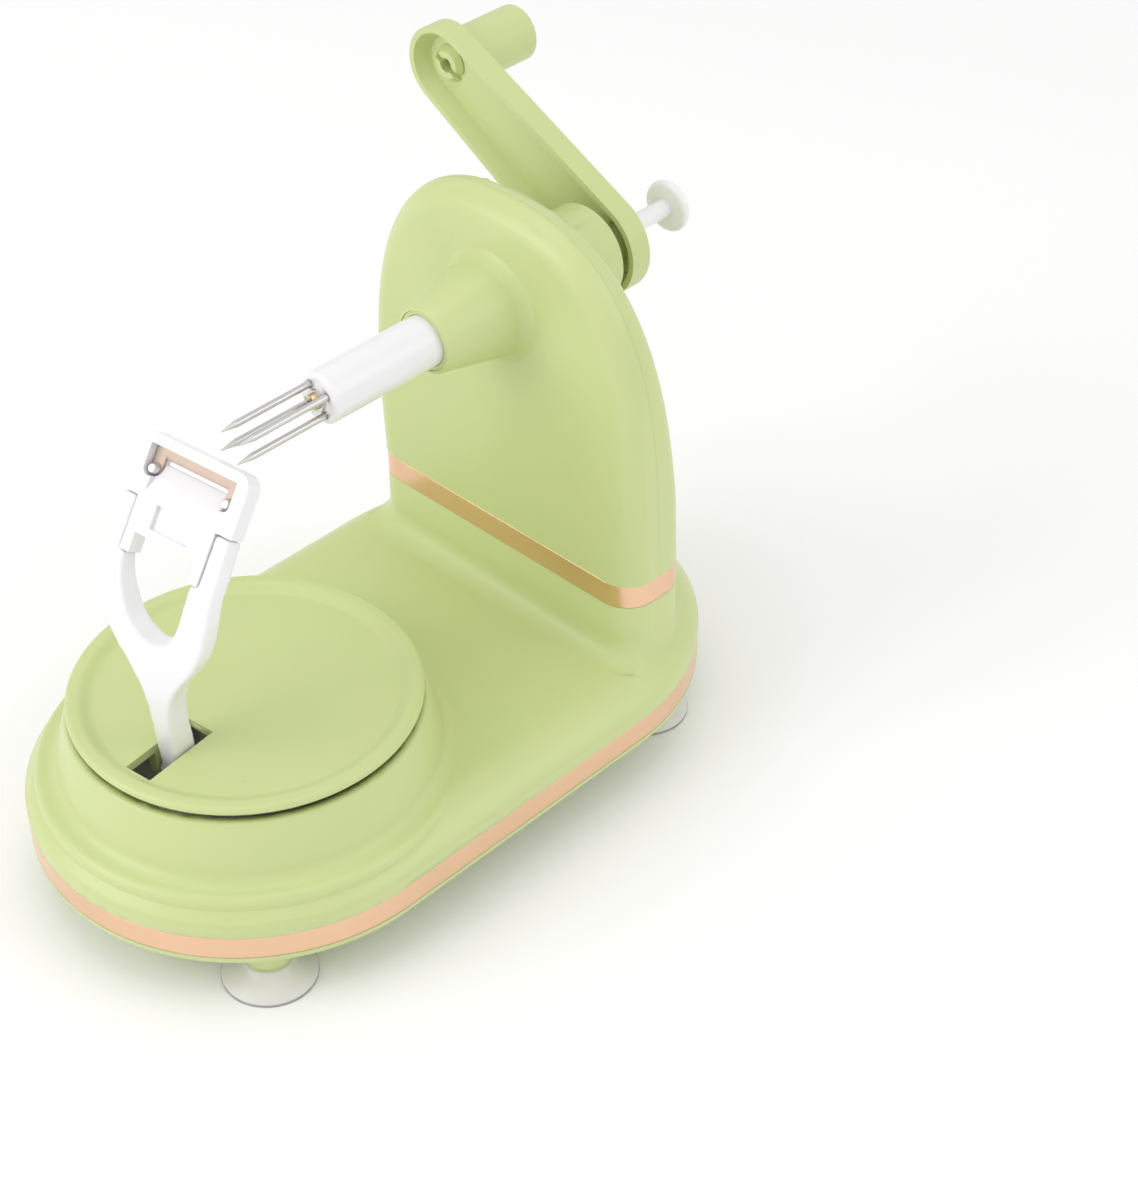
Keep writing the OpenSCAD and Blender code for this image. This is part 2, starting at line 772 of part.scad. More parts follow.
// Front cover of the column with the boss for the spindle
module column_front() color(green) difference() {
    union() {
        intersection() {
            union() {
                difference() {
                    arch_body(0);
                    arch_body(wall);
                }
                column_posts();
            }
            column_side(true);
        }
        along_x(boss_x, spindle_z) rotate_extrude() let (l = front_x - boss_x) polygon(concat(
            [[0, 0], [boss_mouth_r - fine_chamfer, 0], [boss_mouth_r, fine_chamfer]],
            arc([boss_root_r + boss_fillet, l - boss_fillet], boss_fillet, 180, 90),
            [[boss_root_r + boss_fillet, l + wall / 2], [0, l + wall / 2]]
        ));
    }
    along_x(boss_x - cut, spindle_z) cylinder(r = bush_r, h = front_x - boss_x + wall + 2 * cut);
    for (p = column_screw_yz)
        along_x(screw_end_x, p[1], p[0]) cylinder(r = column_screw_r, h = back_at(p[1]) - screw_end_x);
}

// Rear cover of the column with the boss behind it
module column_rear() color(green) difference() {
    union() {
        intersection() {
            union() {
                difference() {
                    arch_body(0);
                    arch_body(wall);
                }
                column_posts();
            }
            column_side(false);
        }
        along_x(rear_boss_in_x, spindle_z) rotate_extrude() let (l = rear_boss_x - rear_boss_in_x) polygon([
            [0, 0], [rear_boss_r, 0], [rear_boss_r, l - chamfer], [rear_boss_r - chamfer, l], [0, l]
        ]);
    }
    along_x(rear_boss_in_x - cut, spindle_z)
        cylinder(r = rear_bush_r, h = rear_boss_x - rear_boss_in_x + 2 * cut);
    for (p = column_screw_yz) {
        along_x(screw_end_x, p[1], p[0])
            cylinder(r = column_screw_r + seat_gap, h = back_at(p[1]) - screw_end_x);
        along_x(back_at(p[1]) - column_head_depth, p[1], p[0])
            cylinder(r = screw_head_r + part_gap, h = 2 * column_head_depth);
    }
}

// Screws that hold the rear cover to the front cover
module column_screws() color(steel) for (p = column_screw_yz)
    along_x(back_at(p[1]) - column_head_depth, p[1], p[0]) rotate([180, 0, 0])
        pan_screw(column_screw_r, back_at(p[1]) - column_head_depth - screw_end_x);

// Bush of the sleeve in the front boss
module front_bush() color(nylon) along_x(boss_x + bush_set, spindle_z) difference() {
    cylinder(r = bush_r, h = gear_front_x - part_gap - boss_x - bush_set);
    translate([0, 0, -cut]) cylinder(r = sleeve_r + run_gap, h = gear_front_x - boss_x + cut);
}

// Bush of the spindle in the rear boss
module rear_bush() color(nylon) along_x(rear_boss_in_x, spindle_z) difference() {
    cylinder(r = rear_bush_r, h = rear_boss_x - rear_boss_in_x - rear_bush_set);
    translate([0, 0, -cut]) cylinder(r = shaft_r + run_gap, h = rear_boss_x - rear_boss_in_x + 2 * cut);
}

// Gear train

// Plate that carries the gears' axles, standing on the bottom cover
module gear_frame() color(nylon) difference() {
    union() {
        translate([frame_x, 0, 0]) rotate([90, 0, 90]) linear_extrude(frame_t) polygon(concat(
            [[-frame_half_w, plate_top_z], [frame_half_w, plate_top_z]],
            arc([0, frame_top_z - frame_top_r], frame_top_r, 0, 180)
        ));
        translate([frame_x, -frame_half_w, plate_top_z])
            cube([frame_t + frame_foot_l, 2 * frame_half_w, frame_t]);
    }
    for (z = [idler_z, reduction_z]) along_x(frame_x - cut, z) cylinder(r = axle_r, h = frame_t + 2 * cut);
    along_x(frame_x - cut, shaft_z) cylinder(r = drive_shaft_r + run_gap, h = frame_t + 2 * cut);
    for (side = [-1, 1])
        translate([frame_x + frame_t + frame_foot_l / 2, side * frame_half_w / 2, 0])
            cylinder(r = frame_screw_r, h = plate_top_z + frame_t + cut);
}

// Screws that hold the gear plate down
module frame_screws() color(steel) for (side = [-1, 1])
    translate([frame_x + frame_t + frame_foot_l / 2, side * frame_half_w / 2, plate_top_z + frame_t])
        rotate([180, 0, 0]) pan_screw(frame_screw_r, frame_t, frame_head_r, frame_head_h);

// Headed pins that the reduction and idler gears turn on
module gear_axles() color(steel) for (g = [[gear_front_x, reduction_z], [gear_back_x, idler_z]])
    along_x(g[0] - seat_gap, g[1]) {
        cylinder(r = axle_r, h = frame_x + frame_t - g[0] + seat_gap);
        translate([0, 0, -axle_head_t]) cylinder(r = axle_head_r, h = axle_head_t);
    }

// Tube that the turntable's shaft turns in
module turntable_bearing() color(nylon) translate([0, 0, plate_top_z]) difference() {
    union() {
        cylinder(r = bearing_r, h = bearing_top_z - plate_top_z);
        cylinder(r = bearing_flange_r, h = bearing_flange_t);
    }
    translate([0, 0, -cut]) cylinder(r = bearing_shaft_r + run_gap, h = bearing_top_z);
}

// Involute of an angle, in degrees
function involute(a) = tan(a) * 180 / PI - a;

// Half angle of a tooth at a radius
function half_tooth(n, r) =
    let (pitch_r = gear_m * n / 2, base = pitch_r * cos(pressure_angle), at = max(r, base))
    90 / n - backlash / 4 / pitch_r * 180 / PI + involute(pressure_angle) - involute(acos(base / at));

// Outline of a spur gear with its first tooth at an angle
module spur_outline(n, phase) {
    pitch_r = gear_m * n / 2;
    radii = [pitch_r - dedendum, pitch_r - 0.3 * gear_m, pitch_r + 0.3 * gear_m, pitch_r + addendum];
    polygon([
        for (k = [0:n - 1], side = [-1, 1], i = [0:3])
            let (r = side < 0 ? radii[i] : radii[3 - i], a = phase + 360 * k / n + side * half_tooth(n, r))
            r * [cos(a), sin(a)]
    ]);
}

// Spur gear along X whose teeth start from the upright
module spur(x, z, n, w, phase)
    translate([x, 0, z]) rotate([90, 0, 90]) linear_extrude(w) spur_outline(n, 90 + phase);

// Holes that lighten a gear's web
module web_holes(x, z, r) for (a = [0:60:300]) translate([x - cut, 0, z]) rotate([a, 0, 0])
    translate([0, 0, web_hole_ring * r]) rotate([0, 90, 0])
        cylinder(r = web_hole_share * r, h = gear_w + 2 * cut);

// Pinion on the spindle, with the hub that keeps it in place
module drive_pinion() color(white) difference() {
    union() {
        spur(pinion_x, spindle_z, pinion_n, gear_w, 0);
        along_x(pinion_x + gear_w, spindle_z)
            cylinder(r = pinion_r - addendum, h = rear_boss_in_x - seat_gap - pinion_x - gear_w);
    }
    along_x(pinion_x - cut, spindle_z) cylinder(r = shaft_r, h = rear_boss_in_x);
}

// Large gear with a pinion behind it
module reduction_gear() color(white) difference() {
    union() {
        difference() {
            spur(gear_front_x, reduction_z, reduction_n, gear_w, 180 / reduction_n);
            web_holes(gear_front_x, reduction_z, reduction_r);
        }
        spur(gear_front_x + gear_w / 2, reduction_z, pinion_n, gear_back_x - gear_front_x + gear_w / 2, 0);
        along_x(gear_back_x, reduction_z) cylinder(r = pinion_r - dedendum, h = gear_w + hub_len);
    }
    along_x(gear_front_x - cut, reduction_z) cylinder(r = axle_r + run_gap, h = frame_x);
}

// Idler gear between the reduction gear and the drive shaft
module idler_gear() color(white) difference() {
    union() {
        difference() {
            spur(gear_back_x, idler_z, idler_n, gear_w, 180 / idler_n);
            web_holes(gear_back_x, idler_z, idler_r);
        }
        along_x(gear_back_x, idler_z) cylinder(r = pinion_r - dedendum, h = gear_w + hub_len);
    }
    along_x(gear_back_x - cut, idler_z) cylinder(r = axle_r + run_gap, h = frame_x);
}

// Shaft that carries the motion from the column to the turntable
module drive_shaft() color(steel) along_x(shaft_front_x, shaft_z)
    cylinder(r = drive_shaft_r, h = frame_x + frame_t + shaft_over - shaft_front_x);

// Gear at the column's end of the drive shaft
module shaft_gear() color(white) difference() {
    union() {
        spur(gear_back_x, shaft_z, pinion_n, gear_w, 0);
        along_x(gear_back_x - shaft_hub_l, shaft_z)
            cylinder(r = pinion_r - dedendum, h = shaft_hub_l + gear_w + hub_len);
    }
    along_x(gear_back_x - shaft_hub_l - cut, shaft_z) cylinder(r = drive_shaft_r, h = frame_x);
}

// Pinion at the turntable's end of the drive shaft
module shaft_pinion() color(white) difference() {
    union() {
        spur(shaft_pinion_x, shaft_z, pinion_n, shaft_pinion_w, 0);
        along_x(shaft_post_x[0] + shaft_post_t + seat_gap, shaft_z)
            cylinder(
                r = pinion_r - dedendum,
                h = shaft_post_x[1] - shaft_post_x[0] - shaft_post_t - 2 * seat_gap
            );
    }
    along_x(shaft_post_x[0], shaft_z) cylinder(r = drive_shaft_r, h = frame_x);
}

// Turntable

// Disc with its raised rim, slot and the lugs of the arm's pivot
module turntable_disc() color(green) difference() {
    union() {
        rotate_extrude() polygon(concat(
            [
                [0, disc_under_z], [pedestal_bore_r - skirt_gap - skirt_lean, disc_under_z],
                [pedestal_bore_r - skirt_gap, rim_bottom_z]
            ],
            arc([disc_r - rim_h / 2, rim_bottom_z + rim_h / 2], rim_h / 2, -90, 90, 10),
            curve([
                [disc_r - rim_h, rim_top_z], [dish_r + dish_round, rim_top_z],
                [dish_r + dish_round / 2, floor_z], [dish_r - dish_round / 2, floor_z]
            ], 8),
            [[0, floor_z]]
        ));
        rotate([0, 0, slot_angle]) for (side = [-1, 1])
            translate([-pivot_s, side * (slot_w / 2 + lug_t / 2), 0]) {
                translate([-lug_half_s, -lug_t / 2, pivot_z])
                    cube([2 * lug_half_s, lug_t, pivot_drop + floor_t / 2]);
                translate([0, lug_t / 2, pivot_z]) rotate([90, 0, 0]) cylinder(r = lug_half_s, h = lug_t);
            }
    }
    rotate([0, 0, slot_angle]) {
        translate([-slot_out, -slot_w / 2, disc_under_z - cut])
            cube([slot_out - slot_in, slot_w, rim_top_z - disc_under_z + 2 * cut]);
        translate([-pivot_s, slot_w, pivot_z]) rotate([90, 0, 0]) cylinder(r = arm_pin_r, h = 2 * slot_w);
    }
    for (a = [30:120:270]) rotate([0, 0, a]) translate([crown_screw_ring_r, 0, disc_under_z - cut])
        cylinder(r = crown_screw_r, h = cut + floor_t / 2);
}

// Crown gear with the turntable's hub and shaft
module crown_gear() color(white) {
    root_w = PI * gear_m / 2 - backlash / 2 + 2 * dedendum * tan(pressure_angle);
    tip_w = PI * gear_m / 2 - backlash / 2 - 2 * addendum * tan(pressure_angle);
    difference() {
        union() {
            translate([0, 0, crown_root_z]) cylinder(r = crown_r + crown_w / 2 + crown_edge, h = crown_t);
            translate([0, 0, crown_root_z]) cylinder(r = hub_r, h = disc_under_z - crown_root_z);
            translate([0, 0, retainer_z + retainer_t])
                cylinder(r = bearing_shaft_r, h = crown_top_z - retainer_z - retainer_t);
        }
        for (a = [30:120:270]) rotate([0, 0, a]) {
            translate([crown_screw_ring_r, 0, crown_top_z]) cylinder(r = crown_screw_r, h = disc_under_z);
            translate([crown_screw_ring_r, 0, crown_root_z - cut])
                cylinder(r = crown_head_r, h = crown_t + crown_screw_sink + cut);
        }
        translate([0, 0, retainer_z])
            cylinder(r = housing_screw_r, h = retainer_t + retainer_bite + pilot_spare);
    }
    for (k = [0:crown_n - 1]) rotate([0, 0, 360 / crown_n * (k + 0.5)])
        translate([crown_r - crown_w / 2, 0, crown_root_z]) rotate([90, 0, 90])
        linear_extrude(crown_w) polygon([
            [-root_w / 2, tooth_root], [-root_w / 2, 0], [-tip_w / 2, -addendum - dedendum],
            [tip_w / 2, -addendum - dedendum], [root_w / 2, 0], [root_w / 2, tooth_root]
        ]);
}

// Screws that hold the crown gear under the disc
module crown_screws() color(steel) for (a = [30:120:270]) rotate([0, 0, a])
    translate([crown_screw_ring_r, 0, crown_top_z + crown_screw_sink]) pan_screw(
        crown_screw_r, disc_under_z + floor_t / 2 - crown_top_z - crown_screw_sink, crown_head_r, crown_head_h
    );

// Washer that keeps the turntable's shaft in its bearing
module retainer_washer() color(steel) translate([0, 0, retainer_z]) difference() {
    cylinder(r = retainer_r, h = retainer_t);
    translate([0, 0, -cut]) cylinder(r = housing_screw_r, h = retainer_t + 2 * cut);
}

// Screw under the retaining washer
module retainer_screw() color(steel) translate([0, 0, retainer_z])
    pan_screw(housing_screw_r, retainer_t + retainer_bite);

// Spindle

// White sleeve and spindle in one piece, hollow for the ejector
module spindle_sleeve() color(white) difference() {
    union() {
        along_x(sleeve_x, spindle_z) rotate_extrude() let (l = pinion_x - sleeve_x) polygon(concat(
            [[0, 0]], arc([sleeve_r - sleeve_round, sleeve_round], sleeve_round, -90, 0),
            [[sleeve_r, l], [0, l]]
        ));
        along_x(pinion_x - cut, spindle_z)
            cylinder(r = shaft_r, h = crank_x + crank_boss_set - pinion_x + cut);
        intersection() {
            along_x(crank_x, spindle_z) cylinder(r = shaft_r, h = spindle_end_x - crank_x);
            translate([crank_x, 0, spindle_z]) rotate([crank_angle, 0, 0])
                translate([0, -shaft_r, -flat_half])
                    cube([spindle_end_x - crank_x, 2 * shaft_r, 2 * flat_half]);
        }
    }
    along_x(sleeve_x - cut, spindle_z) cylinder(r = rod_r + run_gap, h = spindle_end_x - sleeve_x + 2 * cut);
    needle_places() translate([0, 0, -cut]) cylinder(r = needle_r, h = needle_depth + cut);
}

// Puts a shape at each needle, pointing into the sleeve from its front face
module needle_places() for (a = [55:90:325]) along_x(sleeve_x, spindle_z) rotate([0, 0, a])
    translate([needle_ring_r, 0, 0]) children();

// Steel needles of the fork
module fork_needles() color(steel) needle_places() {
    translate([0, 0, needle_tip - needle_l]) cylinder(r = needle_r, h = needle_l - needle_tip + needle_depth);
    translate([0, 0, -needle_l]) cylinder(r1 = needle_point_r, r2 = needle_r, h = needle_tip);
}

// Crank

// Outline of the crank arm, drawn in by an even amount
module crank_outline(inset) {
    r1 = crank_pivot_r - inset;
    r2 = crank_end_r - inset;
    lean = asin((r1 - r2) / crank_len);
    circle(r = r1);
    translate([crank_len, 0]) circle(r = r2);
    polygon([
        for (p = [[0, r1], [crank_len, r2]]) [p[0] + p[1] * sin(lean), p[1] * cos(lean)],
        for (p = [[crank_len, r2], [0, r1]]) [p[0] + p[1] * sin(lean), -p[1] * cos(lean)]
    ]);
}

// Puts a flat outline on the crank, with its x axis along the arm
module crank_plane(x)
    translate([x, 0, spindle_z]) rotate([crank_angle, 0, 0]) rotate([90, 0, 90]) children();

// Crank arm, a channel that is open towards the column
module crank_arm() color(green) difference() {
    union() {
        difference() {
            crank_plane(crank_x) linear_extrude(crank_d) crank_outline(0);
            crank_plane(crank_x - cut) linear_extrude(crank_d - crank_web + cut) crank_outline(crank_wall);
        }
        crank_plane(crank_x + crank_boss_set)
            cylinder(r = crank_boss_r, h = crank_d - crank_boss_set - crank_web / 2);
    }
    crank_plane(crank_x) linear_extrude(crank_d + cut) intersection() {
        circle(r = shaft_r);
        square([4 * shaft_r, 2 * flat_half], center = true);
    }
    crank_plane(crank_x) translate([crank_len, 0, 0]) cylinder(r = grip_stem_r + run_gap, h = crank_d + cut);
    crank_plane(set_screw_x) rotate([-90, 0, 0]) cylinder(r = set_screw_r, h = crank_boss_r);
}

// Set screw that locks the crank on the spindle's flat
module crank_screw() color(steel) crank_plane(set_screw_x) rotate([-90, 0, 0])
    translate([0, 0, flat_half]) cylinder(r = set_screw_r, h = crank_boss_r - flat_half - set_screw_sink);

// Handle that turns on its own snap stem
module handle_grip() color(green) crank_plane(grip_x) translate([crank_len, 0, 0]) difference() {
    union() {
        rotate_extrude() polygon(concat(
            [[0, 0], [grip_r - fine_chamfer, 0], [grip_r, fine_chamfer]],
            arc([grip_r - grip_round, grip_l - grip_round], grip_round, 0, 90, 5),
            [[0, grip_l]]
        ));
        translate([0, 0, crank_web_x - seat_gap - grip_x])
            cylinder(r = grip_stem_r, h = grip_x - crank_web_x + seat_gap + cut);
        translate([0, 0, crank_web_x - seat_gap - hook_t - grip_x])
            cylinder(r1 = grip_stem_r - fine_chamfer, r2 = hook_r, h = hook_t);
    }
    translate([0, 0, crank_web_x - hook_t - cut - grip_x]) {
        translate([-grip_r, -hook_slot / 2, 0]) cube([2 * grip_r, hook_slot, hook_t + cut - seat_gap]);
        cylinder(r = hook_bore_r, h = hook_bore_l);
    }
}

// Ejector

// Rod that runs through the spindle
module ejector_rod() color(white) along_x(sleeve_x, spindle_z) difference() {
    cylinder(r = rod_r, h = knob_x - sleeve_x);
    translate([0, 0, -cut]) cylinder(r = pusher_screw_r, h = screw_bite + pilot_spare + cut);
}

// Mushroom knob on the rod's back end
module push_knob() color(white) along_x(knob_x, spindle_z) rotate_extrude() polygon(concat(
    [[0, 0], [rod_r + knob_neck, 0], [knob_r - knob_round, knob_draft]],
    arc([knob_r - knob_round, knob_t * 0.45], knob_round, -50, 60, 6),
    [[knob_r * 0.5, knob_t * 0.95], [0, knob_t]]
));

// Washer that pushes the core off the needles
module pusher_washer() color(steel) along_x(sleeve_x - washer_t, spindle_z) difference() {
    cylinder(r = washer_r, h = washer_t);
    translate([0, 0, -cut]) cylinder(r = pusher_screw_r, h = washer_t + 2 * cut);
}

// Screw that holds the washer to the rod
module pusher_screw() color(brass) along_x(sleeve_x - washer_t, spindle_z)
    pan_screw(pusher_screw_r, washer_t + screw_bite, pusher_head_r, pusher_head_h);

// Peeling arm

// Puts a shape drawn in the arm's own place at the slot's angle, with s along -X
module arm_placed() rotate([0, 0, slot_angle]) children();

// Outer face of the arm below the head's legs, as [s, z]
arm_curve = [
    [pivot_s + stem_d / 2, pivot_z],
    [pivot_s + stem_d / 2 + belly, pivot_z + belly_rise],
    knee - knee_pull * up_head,
    knee
];

// Inner face of the arm, which gets thinner upwards
function arm_inside(u) = let (d = bezier_dir(arm_curve, u), depth = stem_d + (head_t - stem_d) * u)
    bezier(arm_curve, u) + depth * [-d[1], d[0]];

// Side view of the arm
module arm_side() polygon(concat(
    curve(arm_curve, 16), [fork_tip, fork_tip + head_t * into_head],
    [for (i = [16:-1:0]) arm_inside(i / 16)]
));

// Both halves of an outline that is drawn for one side
function both_sides(side) = concat(side, backwards([for (p = side) [-p[0], p[1]]]));

// Front view of the fork
module arm_front() difference() {
    polygon(let (stem_top = fork_tip_z - fork_h, wide_z = fork_tip_z - fork_wide_h) both_sides(concat(
        [[stem_w / 2, pivot_z]],
        curve([
            [stem_w / 2 + stem_draft, stem_top], [stem_w / 2 + 2 * stem_draft, stem_top + fork_sweep],
            [fork_half_w - stem_draft, stem_top + fork_sweep], [fork_half_w, wide_z]
        ], 14),
        curve([
            [fork_half_w, wide_z], [fork_half_w, wide_z + tine_run],
            [head_half_w, fork_tip_z - tine_run], [head_half_w, fork_tip_z + cut]
        ], 6)
    )));
    polygon(let (crotch = fork_tip_z - crotch_h) both_sides(concat(
        curve([
            [0, crotch], [0.55 * tine_in, crotch + cut],
            [0.9 * tine_in, crotch + crotch_rise], [tine_in, fork_tip_z - tine_in_h]
        ], 12),
        [[tine_in, fork_tip_z + 2 * cut]]
    )));
}

// White fork with the barrel of its pivot
module peeling_arm() color(white) difference() {
    arm_placed() difference() {
        union() {
            intersection() {
                translate([0, fork_half_w + cut, 0]) rotate([90, 0, 0])
                    linear_extrude(2 * (fork_half_w + cut)) mirror([1, 0]) arm_side();
                translate([-2 * pivot_s, 0, 0]) rotate([90, 0, 90]) linear_extrude(2 * pivot_s) arm_front();
            }
            translate([-pivot_s, barrel_w / 2, pivot_z]) rotate([90, 0, 0])
                cylinder(r = barrel_r, h = barrel_w);
        }
        translate([-pivot_s, slot_w, pivot_z]) rotate([90, 0, 0])
            cylinder(r = arm_pin_r + run_gap, h = 2 * slot_w);
        translate([-pivot_s, barrel_w / 2 + cut, pivot_z]) rotate([90, 0, 0])
            cylinder(r = spring_r + 2 * spring_wire_r, h = pocket_w + cut);
        translate([-pivot_s, barrel_w / 2 - pocket_w, pivot_z - barrel_r - cut])
            cube([barrel_r + cut, pocket_w + cut, barrel_r + cut + pocket_over]);
        translate([-pivot_s - barrel_r - cut, barrel_w / 2 - pocket_w, pivot_z - barrel_r - cut])
            cube([barrel_r + 2 * cut, pocket_w + cut, barrel_r + cut]);
    }
    head_placed() translate([-leg_out - leg_gap, -leg_l - leg_gap, -2 * head_t])
        cube([2 * (leg_out + leg_gap), leg_l + head_h, 3 * head_t]);
}

// Pin of the arm's pivot
module arm_pin() color(steel) rotate([0, 0, slot_angle])
    translate([-pivot_s, slot_w / 2 + lug_t, pivot_z]) rotate([90, 0, 0])
        cylinder(r = arm_pin_r, h = slot_w + 2 * lug_t);

// Torsion spring beside the arm's barrel
module arm_spring() color(steel) rotate([0, 0, slot_angle])
    translate([-pivot_s, barrel_w / 2 - spring_set, pivot_z]) rotate([90, 0, 0]) {
        for (k = [0:spring_turns - 1]) translate([0, 0, spring_wire_r + spring_pitch * k])
            rotate_extrude() translate([spring_r, 0]) circle(r = spring_wire_r, $fn = 16);
        translate([spring_r, 0, spring_wire_r]) rotate([-90, 0, 0])
            cylinder(r = spring_wire_r, h = pivot_drop - part_gap, $fn = 16);
        translate([-spring_r, 0, spring_wire_r + spring_pitch * (spring_turns - 1)]) rotate([90, 0, 0])
            cylinder(r = spring_wire_r, h = spring_tail_l, $fn = 16);
    }

// Blade head

// Puts a shape on the head's outer face: x across, y up the head, z out of it
module head_placed() arm_placed() translate([-tip_s, 0, fork_tip_z])
    rotate([0, 90 - head_slope, 0]) rotate([90, 0, -90]) children();

// Head between the fork's tines, with the blade's window, its ramp and two legs
module blade_head() color(white) head_placed() difference() {
    translate([0, 0, -head_t]) linear_extrude(head_t) polygon(both_sides(concat(
        [
            [leg_in, -bridge_l], [leg_in, -leg_l], [leg_out, -leg_l],
            [leg_out, part_gap], [head_half_w, part_gap]
        ],
        arc([head_half_w - head_round, head_h - head_round], head_round, 0, 90)
    )));
    translate([-ramp_half_w - cut, 0, 0]) rotate([90, 0, 90])
        linear_extrude(2 * (ramp_half_w + cut)) polygon([
            [ramp_a, 0], [mouth_a, -window_d], [window_top, -window_d], [window_top, cut], [ramp_a, cut]
        ]);
    for (side = [-1, 1]) translate([side * rivet_t, 0, -window_d]) {
        translate([-lug_r - part_gap, rivet_a, 0])
            cube([2 * (lug_r + part_gap), window_top - rivet_a, window_d + cut]);
        translate([0, rivet_a, 0]) cylinder(r = lug_r + part_gap, h = window_d + cut);
        translate([0, rivet_a, -head_t]) cylinder(r = rivet_r, h = head_t + cut);
    }
    translate([-ramp_half_w, mouth_a, -head_t - cut]) cube([2 * ramp_half_w, mouth_h, head_t + cut]);
    translate([-step_half_w, -step_l, -step_d]) cube([2 * step_half_w, step_l, step_d + cut]);
}

// Steel blade across the window, with its ground edge and an eye at each end
module blade() color(steel) head_placed() translate([0, 0, part_gap - window_d]) difference() {
    union() {
        translate([-rivet_t - lug_r, 0, 0]) rotate([90, 0, 90])
            linear_extrude(2 * (rivet_t + lug_r)) polygon([
                [blade_a, 0], [blade_a + blade_w, 0],
                [blade_a + blade_w, blade_t], [blade_a + blade_edge, blade_t]
            ]);
        for (side = [-1, 1]) translate([side * rivet_t, rivet_a, 0]) {
            cylinder(r = lug_r, h = blade_t);
            translate([-lug_r, 0, 0]) cube([2 * lug_r, rivet_drop + blade_w / 2, blade_t]);
        }
    }
    for (side = [-1, 1]) translate([side * rivet_t, rivet_a, -cut])
        cylinder(r = rivet_r, h = blade_t + 2 * cut);
}

// Rivets that hold the blade
module blade_rivets() color(steel) head_placed() for (side = [-1, 1])
    translate([side * rivet_t, rivet_a, -head_t]) let (l = head_t - window_d + part_gap + blade_t) {
        cylinder(r = rivet_r, h = l);
        translate([0, 0, l]) cylinder(r1 = rivet_head_r, r2 = rivet_r, h = rivet_head_h);
    }

placed() bottom_cover();
placed() upper_shell();
placed() base_stripe();
placed() suction_cups();
placed() housing_screws();
placed() column_band();
placed() column_front();
placed() column_rear();
placed() column_screws();
placed() front_bush();
placed() rear_bush();
placed() gear_frame();
placed() frame_screws();
placed() gear_axles();
placed() turntable_bearing();
placed() spindle_sleeve();
placed() fork_needles();
placed() drive_pinion();
placed() crank_arm();
placed() crank_screw();
placed() handle_grip();
placed() ejector_rod();
placed() push_knob();
placed() pusher_washer();
placed() pusher_screw();
placed() reduction_gear();
placed() idler_gear();
placed() drive_shaft();
placed() shaft_gear();
placed() shaft_pinion();
placed() turntable_disc();
placed() crown_gear();
placed() crown_screws();
placed() retainer_washer();
placed() retainer_screw();
placed() arm_pin();
placed() arm_spring();
placed() peeling_arm();
placed() blade_head();
placed() blade();
placed() blade_rivets();
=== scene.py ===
"""Finishes, small parts, floor, lights and camera of a hand-cranked apple peeler."""

import json
import math

import bmesh
import bpy
from mathutils import Matrix, Vector


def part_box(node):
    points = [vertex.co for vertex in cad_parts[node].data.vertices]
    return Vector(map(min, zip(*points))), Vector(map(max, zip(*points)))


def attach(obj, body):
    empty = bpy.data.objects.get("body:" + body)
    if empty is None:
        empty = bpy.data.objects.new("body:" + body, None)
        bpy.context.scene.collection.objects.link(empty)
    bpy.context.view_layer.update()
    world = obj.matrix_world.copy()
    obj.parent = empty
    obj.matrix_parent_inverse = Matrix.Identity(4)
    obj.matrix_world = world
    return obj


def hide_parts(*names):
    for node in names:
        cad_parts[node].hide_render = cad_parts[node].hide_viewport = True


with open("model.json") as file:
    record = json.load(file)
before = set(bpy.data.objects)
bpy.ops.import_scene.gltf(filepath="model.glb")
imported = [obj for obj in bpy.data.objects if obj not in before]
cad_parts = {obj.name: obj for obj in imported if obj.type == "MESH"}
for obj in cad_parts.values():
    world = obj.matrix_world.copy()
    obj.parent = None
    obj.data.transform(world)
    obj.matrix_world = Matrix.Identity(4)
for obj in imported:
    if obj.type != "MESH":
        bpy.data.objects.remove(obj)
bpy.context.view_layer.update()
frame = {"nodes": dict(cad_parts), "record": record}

bl_info = {
    "name": "Apple peeler",
    "version": (1, 0, 0),
    "blender": (4, 5, 0),
    "location": "View3D > Sidebar > Peeler",
    "description": "Finishes and small parts of a hand-cranked apple peeler",
    "category": "Object",
}

RECORD = frame["record"]
BODY_OF = {node: body for body, nodes in RECORD["behaviour"]["bodies"].items() for node in nodes}
SLOT_OF = {part["node"]: part["material_slot"] for part in RECORD["subparts"]}
CAMERA_PLACE = Vector((-0.37556, -0.43519, 0.51845))
CAMERA_TARGET = Vector((-0.00960, -0.08471, 0.10585))
FINISHES = {}

# Form of the column's arch, as in the solids
ARCH_EDGE_R = 0.0072
ARCH_START = 0.0236
ARCH_BEND = 2 / 2.68
COLUMN_LEAN = 0.013
COLUMN_CORNER_R = 0.010
# Share of the arch edge's radius that the solids' facets keep
ARCH_FACET = 0.9937

# Room round the front boss and before the foot that keeps its own shading
BOSS_ROOM = 0.024
FOOT_ROOM = 0.018

# Distances within which corners are joined, lie on a plane, on the column's skin or at its parting
MERGE_ROOM = 0.000002
PLANE_ROOM = 0.0001
SKIN_ROOM = 0.0005
PARTING_ROOM = 0.0002

# Degrees up to which faces are joined as flat, and past which edges are rounded
FLAT_WITHIN = 0.4
ROUNDED_PAST = 40.0

# Height of the head and radius of the shank of the screws
HOUSING_SCREW = (0.0018, 0.0015)
PUSHER_SCREW = (0.0014, 0.0012)

# Mark of the mould's gate on the turntable
GATE_PLACE = (-0.0770, -0.0315, 0.0552)
GATE_R = 0.0006

# Thickness of the crank's web, and the least distance of its floor's edge from the middle line
CRANK_WEB = 0.0022
CRANK_FLOOR_R = 0.0095


